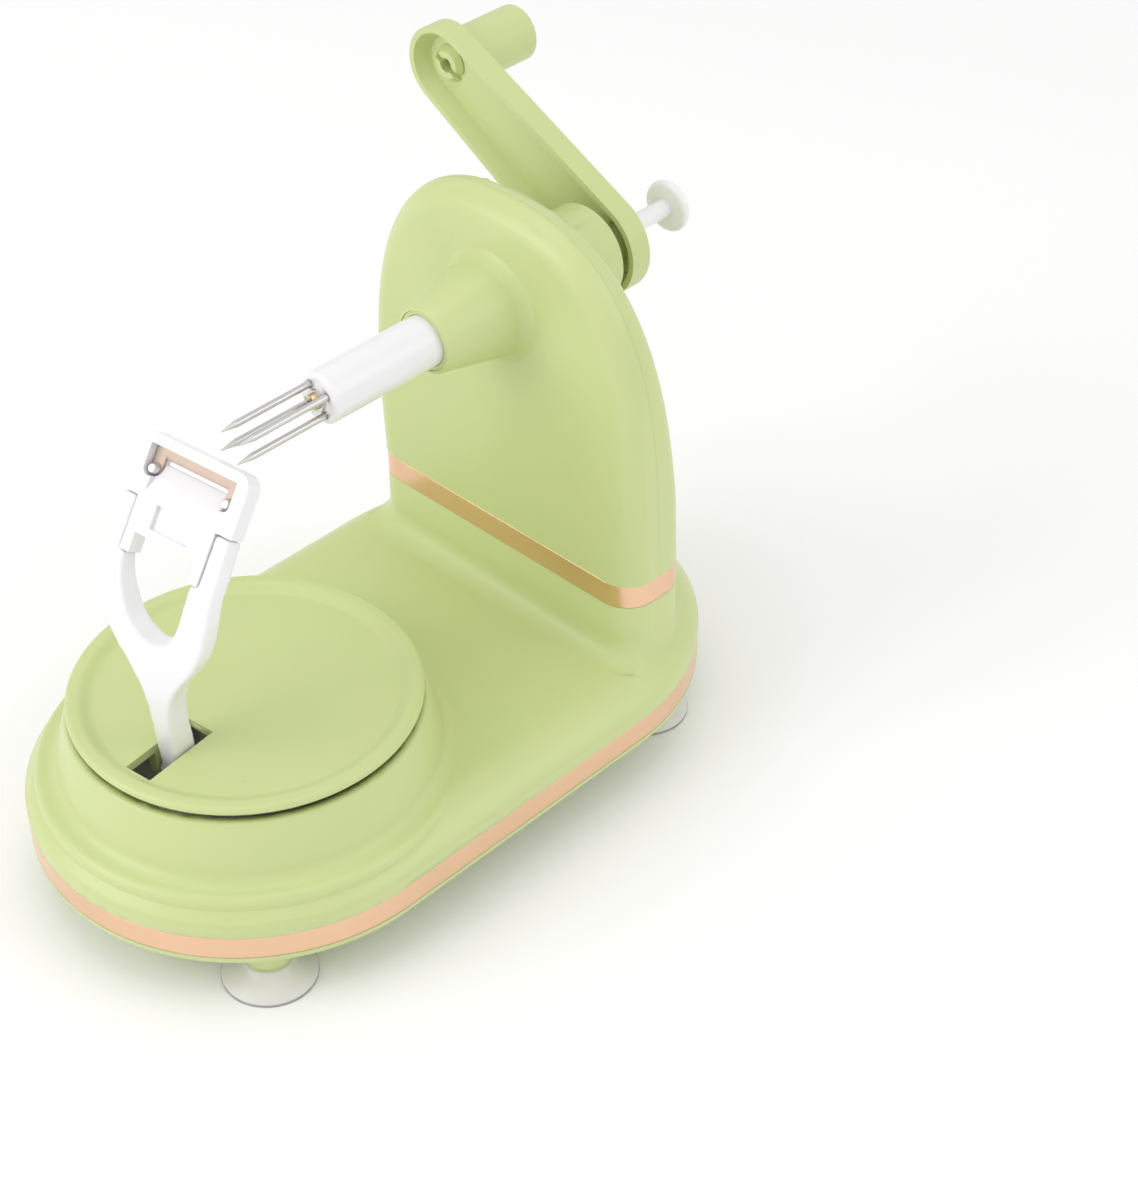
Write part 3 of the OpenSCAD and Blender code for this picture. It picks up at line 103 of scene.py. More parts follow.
class PeelerColours(bpy.types.PropertyGroup):
    """Colours of the peeler's materials."""

    green: bpy.props.FloatVectorProperty(
        name="Green plastic", description="Colour of the moulded housing", subtype="COLOR",
        size=3, min=0.0, max=1.0, default=(0.590, 0.668, 0.300))
    copper: bpy.props.FloatVectorProperty(
        name="Copper trim", description="Colour of the stripe and the band", subtype="COLOR",
        size=3, min=0.0, max=1.0, default=(0.860, 0.565, 0.375))
    white: bpy.props.FloatVectorProperty(
        name="White plastic", description="Colour of the arm, the spindle and the ejector", subtype="COLOR",
        size=3, min=0.0, max=1.0, default=(0.880, 0.868, 0.890))
    steel: bpy.props.FloatVectorProperty(
        name="Steel", description="Colour of the needles, the rivets and the screws", subtype="COLOR",
        size=3, min=0.0, max=1.0, default=(0.680, 0.670, 0.660))
    # The blade's warm colour is a painted reflection of brownish surroundings on its steel
    blade: bpy.props.FloatVectorProperty(
        name="Blade", description="Warm colour of the blade's strip", subtype="COLOR",
        size=3, min=0.0, max=1.0, default=(0.640, 0.505, 0.415))
    brass: bpy.props.FloatVectorProperty(
        name="Brass", description="Colour of the screw between the needles", subtype="COLOR",
        size=3, min=0.0, max=1.0, default=(0.700, 0.580, 0.340))
    rubber: bpy.props.FloatVectorProperty(
        name="Suction cups", description="Colour of the cloudy soft plastic", subtype="COLOR",
        size=3, min=0.0, max=1.0, default=(0.920, 0.910, 0.860))
    nylon: bpy.props.FloatVectorProperty(
        name="Nylon", description="Colour of the bushes and the gear plate", subtype="COLOR",
        size=3, min=0.0, max=1.0, default=(0.740, 0.720, 0.640))
    floor: bpy.props.FloatVectorProperty(
        name="Floor", description="Colour of the studio floor", subtype="COLOR",
        size=3, min=0.0, max=1.0, default=(0.985, 0.985, 0.985))


class PeelerSizes(bpy.types.PropertyGroup):
    """Sizes of the finish and of the picture."""

    edge: bpy.props.FloatProperty(
        name="Edge rounding", description="Rounding of the moulded edges", unit="LENGTH",
        min=0.0, max=0.002, default=0.0006)
    fine_edge: bpy.props.FloatProperty(
        name="Fine edge rounding", description="Rounding of the small parts' edges", unit="LENGTH",
        min=0.0, max=0.001, default=0.00025)
    arm_voxel: bpy.props.FloatProperty(
        name="Arm detail", description="Finest detail of the softened peeling arm", unit="LENGTH",
        min=0.0002, max=0.001, default=0.00035)
    foot_voxel: bpy.props.FloatProperty(
        name="Foot detail", description="Finest detail of the shading round the column's foot", unit="LENGTH",
        min=0.0005, max=0.002, default=0.0009)
    draft: bpy.props.FloatProperty(
        name="Crank draft", description="How far the crank's channel narrows towards its web", unit="LENGTH",
        min=0.0, max=0.003, default=0.0024)
    rivet_rise: bpy.props.FloatProperty(
        name="Rivet rise", description="How far the rivets' heads are brought up in the blade's window",
        unit="LENGTH", min=0.0, max=0.0016, default=0.0012)
    parting: bpy.props.FloatProperty(
        name="Parting line", description="Share of the gap that stays between the column's covers",
        subtype="FACTOR", min=0.1, max=1.0, default=0.25)
    lens: bpy.props.FloatProperty(
        name="Lens", description="Focal length for a sensor 36 mm high", subtype="DISTANCE_CAMERA",
        min=20.0, max=200.0, default=78.02)


class Socket:
    """A node's output that can be used in sums."""

    def __init__(self, finish, output):
        self.finish = finish
        self.output = output

    def math(self, operation, first, second):
        return self.finish.add("ShaderNodeMath", {"operation": operation}, {0: first, 1: second})

    def __add__(self, other):
        return self.math("ADD", self, other)

    __radd__ = __add__

    def __sub__(self, other):
        return self.math("SUBTRACT", self, other)

    def __rsub__(self, other):
        return self.math("SUBTRACT", other, self)

    def __mul__(self, other):
        return self.math("MULTIPLY", self, other)

    __rmul__ = __mul__


class Wiring:
    """A node tree under construction."""

    def __init__(self, owner):
        owner.use_nodes = True
        self.tree = owner.node_tree
        self.tree.nodes.clear()

    def plug(self, node, key, value):
        """Sets a socket to a value, or links it."""
        if isinstance(value, Socket):
            self.tree.links.new(value.output, node.inputs[key])
        else:
            node.inputs[key].default_value = value

    def add(self, kind, settings, sockets, output=0):
        """Adds a node: its settings first, then its sockets' values or links."""
        node = self.tree.nodes.new(kind)
        for key, value in settings.items():
            if key == "stops":
                for stop, (position, colour) in zip(node.color_ramp.elements, value):
                    stop.position = position
                    stop.color = colour
            else:
                setattr(node, key, value)
        for key, value in sockets.items():
            self.plug(node, key, value)
        return Socket(self, node.outputs[output])

    def end(self, kind, socket):
        """Adds the tree's output node."""
        self.plug(self.tree.nodes.new(kind), "Surface", socket)


class Finish(Wiring):
    """A node material under construction."""

    def __init__(self, name):
        self.material = bpy.data.materials.new(name)
        super().__init__(self.material)
        self.shader = self.tree.nodes.new("ShaderNodeBsdfPrincipled")
        self.end("ShaderNodeOutputMaterial", Socket(self, self.shader.outputs[0]))
        self.place = self.add("ShaderNodeTexCoord", {}, {}, "Object")

    def noise(self, scale, detail=2.0, place=None):
        """Noise from 0 to 1 with so many features to the metre."""
        return self.add("ShaderNodeTexNoise", {}, {
            "Vector": place or self.place, "Scale": scale, "Detail": detail, "Roughness": 0.55})

    def stretched(self, scale):
        """Object coordinates stretched along the axes."""
        return self.add("ShaderNodeMapping", {}, {"Vector": self.place, "Scale": scale})

    def blend(self, factor, first, second):
        """Mixes two colours."""
        return self.add("ShaderNodeMix", {"data_type": "RGBA"}, {0: factor, 6: first, 7: second}, 2)

    def bump(self, height, strength, distance):
        """Small relief of the surface."""
        return self.add("ShaderNodeBump", {}, {"Height": height, "Strength": strength, "Distance": distance})

    def set(self, **values):
        """Sets the shader's sockets, with _ for a space."""
        for key, value in values.items():
            self.plug(self.shader, key.replace("_", " "), value)
        return self.material


def shade(colour, gain):
    """A colour made lighter or darker, with alpha."""
    return tuple(min(1.0, part * gain) for part in colour) + (1.0,)


def satin_plastic(name, colour, roughness=0.36):
    """Moulded plastic: faint mottling, a fine spark-eroded grain and a soft sheen."""
    finish = Finish(name)
    clouds = finish.noise(22.0, 3.0)
    grain = finish.noise(3200.0, 1.0)
    flow = finish.noise(90.0, 2.0)
    tone = finish.blend(clouds, shade(colour, 0.965), shade(colour, 1.035))
    return finish.set(
        Base_Color=tone,
        Roughness=roughness - 0.05 + 0.10 * flow,
        Coat_Weight=0.12,
        Coat_Roughness=0.25,
        Normal=finish.bump(grain, 0.10, 0.00006))


def gloss_plastic(name, colour):
    """Glossy white plastic with a slight glow inside."""
    finish = Finish(name)
    clouds = finish.noise(40.0, 2.0)
    ripple = finish.noise(160.0, 2.0)
    return finish.set(
        Base_Color=finish.blend(clouds, shade(colour, 0.98), shade(colour, 1.02)),
        Roughness=0.20 + 0.08 * ripple,
        Coat_Weight=0.25,
        Coat_Roughness=0.12,
        Subsurface_Weight=0.08,
        Subsurface_Radius=(0.004, 0.004, 0.004),
        Subsurface_Scale=0.5,
        Normal=finish.bump(ripple, 0.04, 0.0001))


def foil_trim(name, colour):
    """Hot-stamped copper foil with a faint brushed streak."""
    finish = Finish(name)
    streak = finish.noise(160.0, 2.0, finish.stretched((1.0, 1.0, 30.0)))
    clouds = finish.noise(35.0, 2.0)
    return finish.set(
        Base_Color=finish.blend(clouds, shade(colour, 0.93), shade(colour, 1.06)),
        Metallic=0.95,
        Roughness=0.21 + 0.08 * streak,
        Normal=finish.bump(streak, 0.02, 0.00002))


def brushed_metal(name, colour, roughness=0.24, metallic=1.0):
    """Drawn or ground metal with fine streaks."""
    finish = Finish(name)
    streak = finish.noise(420.0, 3.0, finish.stretched((0.12, 1.0, 1.0)))
    return finish.set(
        Base_Color=finish.blend(streak, shade(colour, 0.88), shade(colour, 1.1)),
        Metallic=metallic,
        Roughness=roughness + 0.14 * streak,
        Normal=finish.bump(streak, 0.08, 0.00005))


def cloudy_rubber(name, colour):
    """Cloudy soft plastic that lets some light through, with a painted line of shade round its lowest rim."""
    finish = Finish(name)
    clouds = finish.noise(120.0, 2.0)
    height = finish.add("ShaderNodeSeparateXYZ", {}, {"Vector": finish.place}, "Z")
    # The lowest 0.8 mm of each cup is painted at half brightness: a painted shade line along the rim
    rim = finish.add("ShaderNodeMath", {"operation": "LESS_THAN"}, {0: height, 1: 0.0008})
    body = finish.blend(clouds, shade(colour, 0.95), shade(colour, 1.04))
    return finish.set(
        Base_Color=finish.blend(rim, body, shade(colour, 0.5)),
        Roughness=0.30 + 0.08 * clouds,
        Transmission_Weight=0.22,
        IOR=1.42,
        Coat_Weight=0.2)


def finishes():
    """All the materials by the record's slot, made once."""
    if not FINISHES:
        colours = bpy.context.scene.peeler_colours
        FINISHES.update({
            "green_plastic": satin_plastic("matcha_satin_plastic", colours.green),
            "copper_trim": foil_trim("copper_foil", colours.copper),
            "white_plastic": gloss_plastic("white_gloss_plastic", colours.white),
            "nylon": satin_plastic("natural_nylon", colours.nylon, 0.45),
            "steel": brushed_metal("drawn_steel", colours.steel),
            # Steel for the blade whose warm colour is a painted reflection
            "steel_with_painted_reflection": brushed_metal("blade_steel_painted_reflection", colours.blade, 0.42, 0.35),
            "brass_screw": brushed_metal("passivated_brass", colours.brass, 0.3),
            "clear_rubber": cloudy_rubber("cloudy_soft_plastic", colours.rubber),
        })
    return FINISHES


def pick_only(obj):
    """Makes one object the only selected and the active one."""
    bpy.ops.object.select_all(action="DESELECT")
    obj.select_set(True)
    bpy.context.view_layer.objects.active = obj


def apply_modifier(piece, kind, **settings):
    """Adds a modifier to the active object and applies it."""
    modifier = piece.modifiers.new(kind.lower(), kind)
    for key, value in settings.items():
        setattr(modifier, key, value)
    bpy.ops.object.modifier_apply(modifier=modifier.name)


def round_edges(piece, width, segments=2):
    """Rounds the sharp edges of the active object."""
    apply_modifier(
        piece, "BEVEL", width=width, segments=segments,
        limit_method="ANGLE", angle_limit=math.radians(ROUNDED_PAST))


def open_faces():
    """Opens the active object in edit mode, to work on its faces."""
    bpy.ops.object.mode_set(mode="EDIT")
    bpy.ops.mesh.select_mode(type="FACE")


def start_cylinder(name, vertices, radius, depth, place, turn=(0.0, 0.0, 0.0)):
    """Adds a cylinder with its place in its mesh, and opens its faces."""
    bpy.ops.object.select_all(action="DESELECT")
    bpy.ops.mesh.primitive_cylinder_add(
        vertices=vertices, radius=radius, depth=depth, location=place, rotation=turn)
    piece = bpy.context.object
    piece.name = name
    bpy.ops.object.transform_apply()
    open_faces()
    return piece


def merged_copy(node, flat=0.0):
    """A copy of a node's mesh with its corners joined, and its flat faces too."""
    piece = bpy.data.objects.new(node + "_finish", frame["nodes"][node].data.copy())
    bpy.context.scene.collection.objects.link(piece)
    pick_only(piece)
    bpy.ops.object.mode_set(mode="EDIT")
    bpy.ops.mesh.select_all(action="SELECT")
    bpy.ops.mesh.remove_doubles(threshold=MERGE_ROOM)
    if flat:
        bpy.ops.mesh.dissolve_limited(angle_limit=math.radians(flat))
    bpy.ops.object.mode_set(mode="OBJECT")
    return piece


def finished_copy(node, edge=0.0, segments=2, smooth=35.0, reshape=None):
    """A copy of a node's mesh with rounded edges, which stands for the node."""
    piece = merged_copy(node, FLAT_WITHIN if edge else 0.0)
    if reshape:
        for vert in piece.data.vertices:
            vert.co = reshape(vert.co)
    if edge:
        round_edges(piece, edge, segments)
    even_shading(piece, smooth)
    settle(piece, node)
    return piece


def even_shading(piece, angle):
    """Smooth shading up to an angle, in which the broad faces stay flat."""
    bpy.ops.object.shade_smooth_by_angle(angle=math.radians(angle))
    apply_modifier(piece, "WEIGHTED_NORMAL", weight=80, keep_sharp=True)


def borrow_shading(piece, guide, test):
    """Takes a guide's smooth shading at the corners whose place passes a test."""
    group = piece.vertex_groups.new(name="borrowed_shading")
    group.add([vert.index for vert in piece.data.vertices if test(vert.co)], 1.0, "REPLACE")
    apply_modifier(
        piece, "DATA_TRANSFER", object=guide, use_loop_data=True, data_types_loops={"CUSTOM_NORMAL"},
        loop_mapping="POLYINTERP_NEAREST", vertex_group=group.name)


def column_form():
    """The column's arch as one fine closed form, which its covers follow."""
    low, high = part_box("column_band")
    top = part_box("column_rear")[1].z
    centre = (low + high) / 2
    half_d, half_w = (high.x - low.x) / 2, (high.y - low.y) / 2
    across = half_w - ARCH_EDGE_R
    rise = top - ARCH_EDGE_R - high.z - ARCH_START
    points = []
    for degrees in range(0, 181, 2):
        flat, up = math.cos(math.radians(degrees)), math.sin(math.radians(degrees))
        side, flat = math.copysign(1.0, flat), abs(flat)
        y = centre.y + side * across * flat ** ARCH_BEND
        z = high.z + ARCH_START + rise * up ** ARCH_BEND
        out = Vector((
            0.0, side * flat ** (2 - ARCH_BEND) / across, up ** (2 - ARCH_BEND) / rise)).normalized()
        back = high.x - COLUMN_LEAN * (z - high.z) / (top - high.z)
        for x, way in ((low.x + ARCH_EDGE_R, -1.0), (back - ARCH_EDGE_R, 1.0)):
            for step in range(13):
                lean = math.radians(7.5 * step)
                edge = out * math.cos(lean) + Vector((way * math.sin(lean), 0.0, 0.0))
                points.append(Vector((x, y, z)) + ARCH_FACET * ARCH_EDGE_R * edge)
    for degrees in range(0, 360, 5):
        x, y = math.cos(math.radians(degrees)), math.sin(math.radians(degrees))
        for z in (high.z, low.z):
            points.append(Vector((
                centre.x + math.copysign(half_d - COLUMN_CORNER_R, x) + COLUMN_CORNER_R * x,
                centre.y + math.copysign(half_w - COLUMN_CORNER_R, y) + COLUMN_CORNER_R * y, z)))
    mesh = bpy.data.meshes.new("column_form")
    mesh.from_pydata(points, [], [])
    form = bpy.data.objects.new("column_form", mesh)
    bpy.context.scene.collection.objects.link(form)
    pick_only(form)
    bpy.ops.object.mode_set(mode="EDIT")
    bpy.ops.mesh.select_all(action="SELECT")
    bpy.ops.mesh.convex_hull()
    bpy.ops.object.mode_set(mode="OBJECT")
    even_shading(form, 60.0)
    return form


def column_cover(node, form, parting):
    """A copy of a column cover that follows the fine form outside and closes up to a hairline."""
    piece = merged_copy(node)
    low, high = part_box("column_band")
    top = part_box("column_rear")[1].z
    axis = sum(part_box("spindle_sleeve"), Vector()) / 2

    def on_skin(place):
        near = form.closest_point_on_mesh(place)[1]
        return (near - place).length < SKIN_ROOM and (place - axis).yz.length > BOSS_ROOM

    open_faces()
    pick_faces(piece, lambda face: all(on_skin(vert.co) for vert in face.verts)
               and face.normal.dot(form.closest_point_on_mesh(face.calc_center_median())[2]) > 0.5)
    bpy.ops.mesh.subdivide(number_cuts=5)
    bpy.ops.object.mode_set(mode="OBJECT")
    skin = piece.vertex_groups.new(name="skin")
    skin.add([vert.index for vert in piece.data.vertices if on_skin(vert.co)], 1.0, "REPLACE")
    apply_modifier(
        piece, "SHRINKWRAP", target=form, wrap_method="NEAREST_SURFACEPOINT", vertex_group=skin.name)
    for vert in piece.data.vertices:
        split = (low.x + high.x - COLUMN_LEAN * (vert.co.z - high.z) / (top - high.z)) / 2
        if abs(vert.co.x - split) < PARTING_ROOM:
            vert.co.x = split + parting * (vert.co.x - split)
    even_shading(piece, 35.0)
    borrow_shading(piece, form, on_skin)
    settle(piece, node)


def upper_shell(voxel, passes):
    """The base's upper shell, shaded evenly round the column's foot."""
    piece = finished_copy("upper_shell", smooth=50.0)
    guide = merged_copy("upper_shell")
    apply_modifier(guide, "REMESH", mode="VOXEL", voxel_size=voxel)
    apply_modifier(guide, "SMOOTH", factor=0.5, iterations=passes)
    bpy.ops.object.shade_smooth()
    pick_only(piece)
    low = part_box("column_band")[0]
    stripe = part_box("base_stripe")[1].z
    borrow_shading(piece, guide, lambda place: place.x > low.x - FOOT_ROOM
                   and stripe + 2 * voxel < place.z < low.z - 2 * voxel)
    bpy.data.objects.remove(guide)


def softened_copy(node, voxel, passes, share):
    """A copy of a node's mesh with all its edges well rounded, which stands for the node."""
    piece = merged_copy(node)
    apply_modifier(piece, "REMESH", mode="VOXEL", voxel_size=voxel)
    apply_modifier(piece, "SMOOTH", factor=0.5, iterations=passes)
    apply_modifier(piece, "DECIMATE", ratio=share)
    bpy.ops.object.shade_smooth()
    settle(piece, node)
    return piece


def solids(node):
    """Lowest and highest corners of each separate solid of a node."""
    mesh = bmesh.new()
    mesh.from_mesh(frame["nodes"][node].data)
    bmesh.ops.remove_doubles(mesh, verts=mesh.verts, dist=MERGE_ROOM)
    left = set(mesh.verts)
    boxes = []
    while left:
        group = [left.pop()]
        for vert in group:
            for edge in vert.link_edges:
                other = edge.other_vert(vert)
                if other in left:
                    left.remove(other)
                    group.append(other)
        boxes.append([
            Vector(pick(vert.co[axis] for vert in group) for axis in range(3)) for pick in (min, max)])
    mesh.free()
    return boxes


def pick_faces(obj, test):
    """In edit mode, selects the faces that pass a test."""
    mesh = bmesh.from_edit_mesh(obj.data)
    for face in mesh.faces:
        face.select_set(False)
    for face in mesh.faces:
        if test(face):
            face.select_set(True)
    bmesh.update_edit_mesh(obj.data)


def cross_head_screw(head_r, head_h, shank_r, shank_l):
    """A screw with a domed head, a cross slot and a blunt point, its head's seat at the origin."""
    screw = start_cylinder("screw", 40, head_r, head_h, (0.0, 0.0, head_h / 2))
    pick_faces(screw, lambda face: face.normal.z > 0.9)
    bpy.ops.mesh.bevel(offset=0.55 * head_h, segments=5, affect="EDGES")
    pick_faces(screw, lambda face: face.normal.z < -0.9)
    bpy.ops.mesh.inset(thickness=head_r - shank_r)
    bpy.ops.mesh.extrude_region_move(TRANSFORM_OT_translate={"value": (0.0, 0.0, 2 * shank_r - shank_l)})
    bpy.ops.mesh.extrude_region_move(TRANSFORM_OT_translate={"value": (0.0, 0.0, -2 * shank_r)})
    bpy.ops.transform.resize(value=(0.3, 0.3, 1.0))
    bpy.ops.object.mode_set(mode="OBJECT")
    for turn in (0.0, math.pi / 2):
        bpy.ops.mesh.primitive_cube_add(
            size=1.0, location=(0.0, 0.0, head_h), rotation=(0.0, 0.0, turn),
            scale=(1.25 * head_r, 0.3 * head_r, 1.2 * head_h))
        slot = bpy.context.object
        pick_only(screw)
        apply_modifier(screw, "BOOLEAN", operation="DIFFERENCE", object=slot, solver="EXACT")
        bpy.data.objects.remove(slot)
    bpy.ops.object.shade_smooth_by_angle(angle=math.radians(32.0))
    return screw


def screws(node, towards, head_h, shank_r):
    """Cross-head screws in the places of a node's solids, with their heads towards an axis."""
    towards = Vector(towards)
    across = [axis for axis in range(3) if not towards[axis]]
    boxes = solids(node)
    low, high = boxes[0]
    length = min(max(high - low) for low, high in boxes)
    screw = cross_head_screw((high - low)[across[0]] / 2, head_h, shank_r, length - head_h)
    turn = towards.to_track_quat("Z", "Y").to_matrix().to_4x4()
    copies = []
    for low, high in boxes:
        copy = bpy.data.objects.new(node + "_finish", screw.data.copy())
        bpy.context.scene.collection.objects.link(copy)
        seat = (low + high) / 2 + towards * (max(high - low) / 2 - head_h)
        copy.data.transform(Matrix.Translation(seat) @ turn)
        copies.append(copy)
    bpy.data.objects.remove(screw)
    pick_only(copies[0])
    for copy in copies:
        copy.select_set(True)
    if len(copies) > 1:
        bpy.ops.object.join()
    settle(copies[0], node)


def mushroom_knob():
    """The ejector's knob with a full round rim."""
    low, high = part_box("push_knob")
    thick = high.x - low.x
    piece = start_cylinder(
        "push_knob_finish", 72, (high.z - low.z) / 2, thick, (low + high) / 2, (0.0, math.pi / 2, 0.0))
    pick_faces(piece, lambda face: abs(face.normal.x) > 0.9)
    bpy.ops.mesh.bevel(offset=0.48 * thick, segments=7, affect="EDGES")
    pick_faces(piece, lambda face: abs(face.normal.x) > 0.9999)
    bpy.ops.mesh.inset(thickness=thick, use_individual=True)
    bpy.ops.object.mode_set(mode="OBJECT")
    even_shading(piece, 40.0)
    settle(piece, "push_knob")


def flush_bush(edge):
    """The front bush, brought forward to the boss's mouth and moulded in the housing's colour."""
    piece = merged_copy("front_bush", FLAT_WITHIN)
    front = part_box("front_bush")[0].x
    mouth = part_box("column_front")[0].x
    open_faces()
    pick_faces(piece, lambda face: face.normal.x < -0.9 and face.calc_center_median().x < front + edge)
    bpy.ops.transform.translate(value=(mouth + edge - front, 0.0, 0.0))
    bpy.ops.object.mode_set(mode="OBJECT")
    round_edges(piece, edge)
    even_shading(piece, 35.0)
    settle(piece, "front_bush", "green_plastic")


def gate_mark(place, radius):
    """The small mark that the mould's gate leaves on the turntable."""
    piece = start_cylinder("gate_mark", 24, radius, radius / 2, place)
    pick_faces(piece, lambda face: face.normal.z > 0.9)
    bpy.ops.mesh.bevel(offset=0.22 * radius, segments=3, affect="EDGES")
    bpy.ops.object.mode_set(mode="OBJECT")
    even_shading(piece, 40.0)
    piece.data.materials.append(finishes()["green_plastic"])
    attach(piece, BODY_OF["turntable_disc"])


def settle(piece, node, slot=None):
    """Gives a piece its finish and its node's body, and lets it stand for the node."""
    slot = slot or SLOT_OF[node]
    piece.data.materials.clear()
    piece.data.materials.append(finishes()[slot])
    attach(piece, BODY_OF[node])
    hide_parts(node)


class PEELER_OT_housing(bpy.types.Operator):
    """Finish the base, the pedestal and the column's covers"""

    bl_idname = "peeler.housing"
    bl_label = "Housing"

    def execute(self, context):
        finished_copy("bottom_cover", smooth=50.0)
        upper_shell(context.scene.peeler_sizes.foot_voxel, passes=14)
        form = column_form()
        for node in ("column_front", "column_rear"):
            column_cover(node, form, context.scene.peeler_sizes.parting)
        bpy.data.objects.remove(form)
        screws("column_screws", (1.0, 0.0, 0.0), *HOUSING_SCREW)
        screws("housing_screws", (0.0, 0.0, -1.0), *HOUSING_SCREW)
        return {"FINISHED"}


class PEELER_OT_trim(bpy.types.Operator):
    """Finish the copper stripe and the copper band"""

    bl_idname = "peeler.trim"
    bl_label = "Copper trim"

    def execute(self, context):
        for node in ("base_stripe", "column_band"):
            finished_copy(node, context.scene.peeler_sizes.fine_edge)
        return {"FINISHED"}


class PEELER_OT_cups(bpy.types.Operator):
    """Finish the suction cups"""

    bl_idname = "peeler.cups"
    bl_label = "Suction cups"

    def execute(self, context):
        finished_copy("suction_cups")
        return {"FINISHED"}


class PEELER_OT_turntable(bpy.types.Operator):
    """Finish the turntable disc"""

    bl_idname = "peeler.turntable"
    bl_label = "Turntable"

    def execute(self, context):
        finished_copy("turntable_disc")
        gate_mark(GATE_PLACE, GATE_R)
        return {"FINISHED"}


def raised_heads(rise):
    """A way to bring the rivets' heads up towards the head's outer face."""
    blade = frame["nodes"]["blade"].data
    up = max(blade.polygons, key=lambda face: face.area).normal.copy()
    up = up if up.z > 0.0 else -up
    level = max(vert.co.dot(up) for vert in blade.vertices) + PLANE_ROOM
    return lambda place: place + rise * up if place.dot(up) > level else place


class PEELER_OT_arm(bpy.types.Operator):
    """Finish the peeling arm, its head and the blade"""

    bl_idname = "peeler.arm"
    bl_label = "Peeling arm"

    def execute(self, context):
        sizes = context.scene.peeler_sizes
        softened_copy("peeling_arm", sizes.arm_voxel, passes=45, share=0.4)
        finished_copy("blade_head", sizes.edge, 3)
        blade = finished_copy("blade", sizes.fine_edge / 2)
        # The blade takes the steel whose warm colour is a painted reflection
        blade.data.materials[0] = finishes()["steel_with_painted_reflection"]
        finished_copy("blade_rivets", sizes.fine_edge, reshape=raised_heads(sizes.rivet_rise))
        return {"FINISHED"}


class PEELER_OT_spindle(bpy.types.Operator):
    """Finish the sleeve, the needles and the ejector"""

    bl_idname = "peeler.spindle"
    bl_label = "Spindle and ejector"

    def execute(self, context):
        for node in ("spindle_sleeve", "fork_needles", "ejector_rod", "pusher_washer"):
            finished_copy(node)
        mushroom_knob()
        flush_bush(context.scene.peeler_sizes.fine_edge)
        screws("pusher_screw", (-1.0, 0.0, 0.0), *PUSHER_SCREW)
        return {"FINISHED"}


def drafted_channel(draft):
    """A way to draw in the floor of the crank's channel, so that its walls slope."""
    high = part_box("crank_arm")[1]
    pivot, end = (sum(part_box(node), Vector()) / 2 for node in ("spindle_sleeve", "handle_grip"))
    along = (end - pivot).yz

    def reshape(place):
        share = min(1.0, max(0.0, (place - pivot).yz.dot(along) / along.length_squared))
        out = (place - pivot).yz - share * along
        if abs(place.x - high.x + CRANK_WEB) > PLANE_ROOM or out.length < CRANK_FLOOR_R:
            return place
        out *= draft / out.length
        return place - Vector((0.0, out.x, out.y))

    return reshape


class PEELER_OT_crank(bpy.types.Operator):
    """Finish the crank arm and its handle"""

    bl_idname = "peeler.crank"
    bl_label = "Crank"

    def execute(self, context):
        sizes = context.scene.peeler_sizes
        finished_copy("crank_arm", sizes.edge, 3, reshape=drafted_channel(sizes.draft))
        finished_copy("handle_grip", sizes.fine_edge)
        return {"FINISHED"}


class PEELER_OT_works(bpy.types.Operator):
    """Give the gears, shafts, bushes and screws their materials"""

    bl_idname = "peeler.works"
    bl_label = "Inner works"

    def execute(self, context):
        for node, obj in frame["nodes"].items():
            if not obj.hide_render:
                obj.data.materials.clear()
                obj.data.materials.append(finishes()[SLOT_OF[node]])
        return {"FINISHED"}


def area_light(name, place, size, power):
    """A soft square light that looks at the peeler."""
    bpy.ops.object.light_add(type="AREA", location=place)
    lamp = bpy.context.object
    lamp.name = name
    lamp.data.shape = "SQUARE"
    lamp.data.size = size
    lamp.data.energy = power
    lamp.rotation_euler = (Vector((0.0, 0.0, 0.08)) - Vector(place)).to_track_quat("-Z", "Y").to_euler()


def studio_room(strength):
    """White room that gets darker low on the left, as seen from the camera."""
    world = bpy.data.worlds.new("studio")
    wiring = Wiring(world)
    way = wiring.add("ShaderNodeTexCoord", {}, {}, "Generated")
    side = wiring.add(
        "ShaderNodeVectorMath", {"operation": "DOT_PRODUCT"}, {0: way, 1: (0.35, -0.45, 0.82)}, "Value")
    tone = wiring.add(
        "ShaderNodeValToRGB", {"stops": ((0.0, (0.60, 0.57, 0.54, 1.0)), (0.75, (1.0, 1.0, 1.0, 1.0)))},
        {"Fac": 0.5 + 0.5 * side})
    light = wiring.add("ShaderNodeBackground", {}, {"Color": tone, "Strength": strength})
    wiring.end("ShaderNodeOutputWorld", light)
    return world


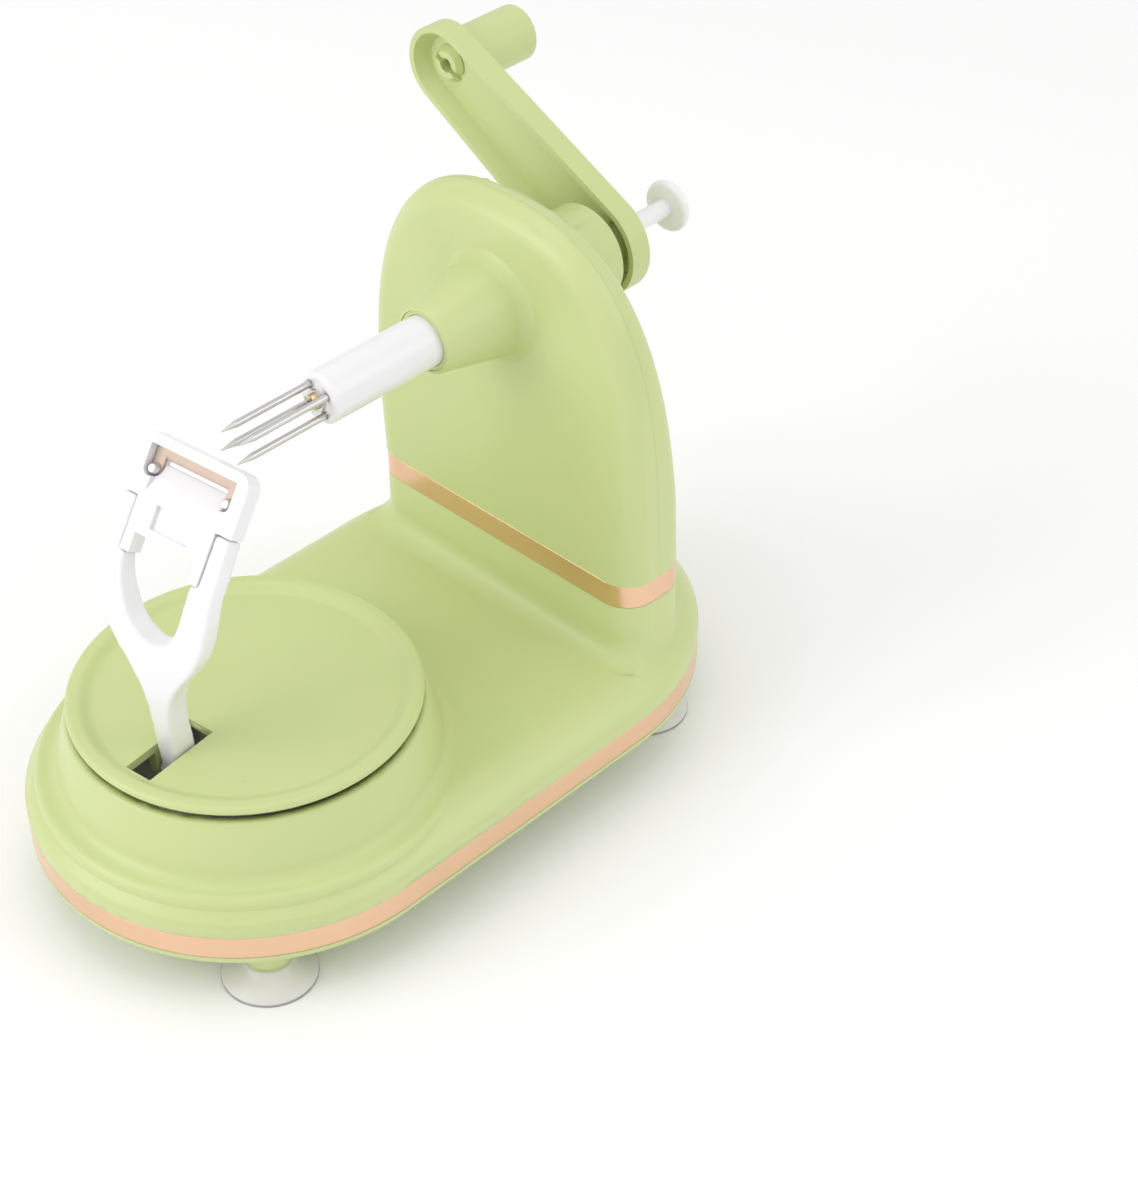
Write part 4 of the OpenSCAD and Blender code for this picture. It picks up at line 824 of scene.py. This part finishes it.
class PEELER_OT_stage(bpy.types.Operator):
    """Make the pale floor, the studio lights and the camera"""

    bl_idname = "peeler.stage"
    bl_label = "Stage"

    def execute(self, context):
        scene = context.scene
        bpy.ops.object.select_all(action="DESELECT")
        bpy.ops.mesh.primitive_plane_add(size=6.0, location=(0.0, 0.0, 0.0))
        floor = context.object
        floor.name = "floor"
        floor.data.materials.append(Finish("pale_floor").set(
            Base_Color=shade(scene.peeler_colours.floor, 1.0), Roughness=0.9, Specular_IOR_Level=0.1))
        scene.world = studio_room(0.81)
        area_light("overhead", (-0.1, 0.1, 1.3), 0.9, 2.0)
        area_light("front", (-1.05, 0.45, 0.70), 0.9, 5.5)
        area_light("side", (0.5, -1.0, 0.8), 0.8, 2.0)
        camera = bpy.data.objects.new("camera", bpy.data.cameras.new("camera"))
        scene.collection.objects.link(camera)
        camera.data.sensor_fit = "VERTICAL"
        camera.data.sensor_height = 36.0
        camera.data.lens = scene.peeler_sizes.lens
        camera.location = CAMERA_PLACE
        camera.rotation_euler = (CAMERA_TARGET - CAMERA_PLACE).to_track_quat("-Z", "Y").to_euler()
        scene.camera = camera
        scene.view_settings.view_transform = "Standard"
        return {"FINISHED"}


OPERATORS = (
    PEELER_OT_housing, PEELER_OT_trim, PEELER_OT_cups, PEELER_OT_turntable, PEELER_OT_arm,
    PEELER_OT_spindle, PEELER_OT_crank, PEELER_OT_works, PEELER_OT_stage,
)


class PEELER_PT_panel(bpy.types.Panel):
    """Lists the peeler's operators, sizes and colours"""

    bl_idname = "PEELER_PT_panel"
    bl_label = "Apple peeler"
    bl_space_type = "VIEW_3D"
    bl_region_type = "UI"
    bl_category = "Peeler"

    def draw(self, context):
        for operator in OPERATORS:
            self.layout.operator(operator.bl_idname)
        for group in (context.scene.peeler_sizes, context.scene.peeler_colours):
            for name in group.__annotations__:
                self.layout.prop(group, name)


CLASSES = (PeelerColours, PeelerSizes) + OPERATORS + (PEELER_PT_panel,)


def register():
    for cls in CLASSES:
        bpy.utils.register_class(cls)
    bpy.types.Scene.peeler_colours = bpy.props.PointerProperty(type=PeelerColours)
    bpy.types.Scene.peeler_sizes = bpy.props.PointerProperty(type=PeelerSizes)


def unregister():
    del bpy.types.Scene.peeler_sizes
    del bpy.types.Scene.peeler_colours
    for cls in reversed(CLASSES):
        bpy.utils.unregister_class(cls)


def main():
    register()
    bpy.ops.peeler.housing()
    bpy.ops.peeler.trim()
    bpy.ops.peeler.cups()
    bpy.ops.peeler.turntable()
    bpy.ops.peeler.arm()
    bpy.ops.peeler.spindle()
    bpy.ops.peeler.crank()
    bpy.ops.peeler.works()
    bpy.ops.peeler.stage()


if __name__ == "__main__":
    main()
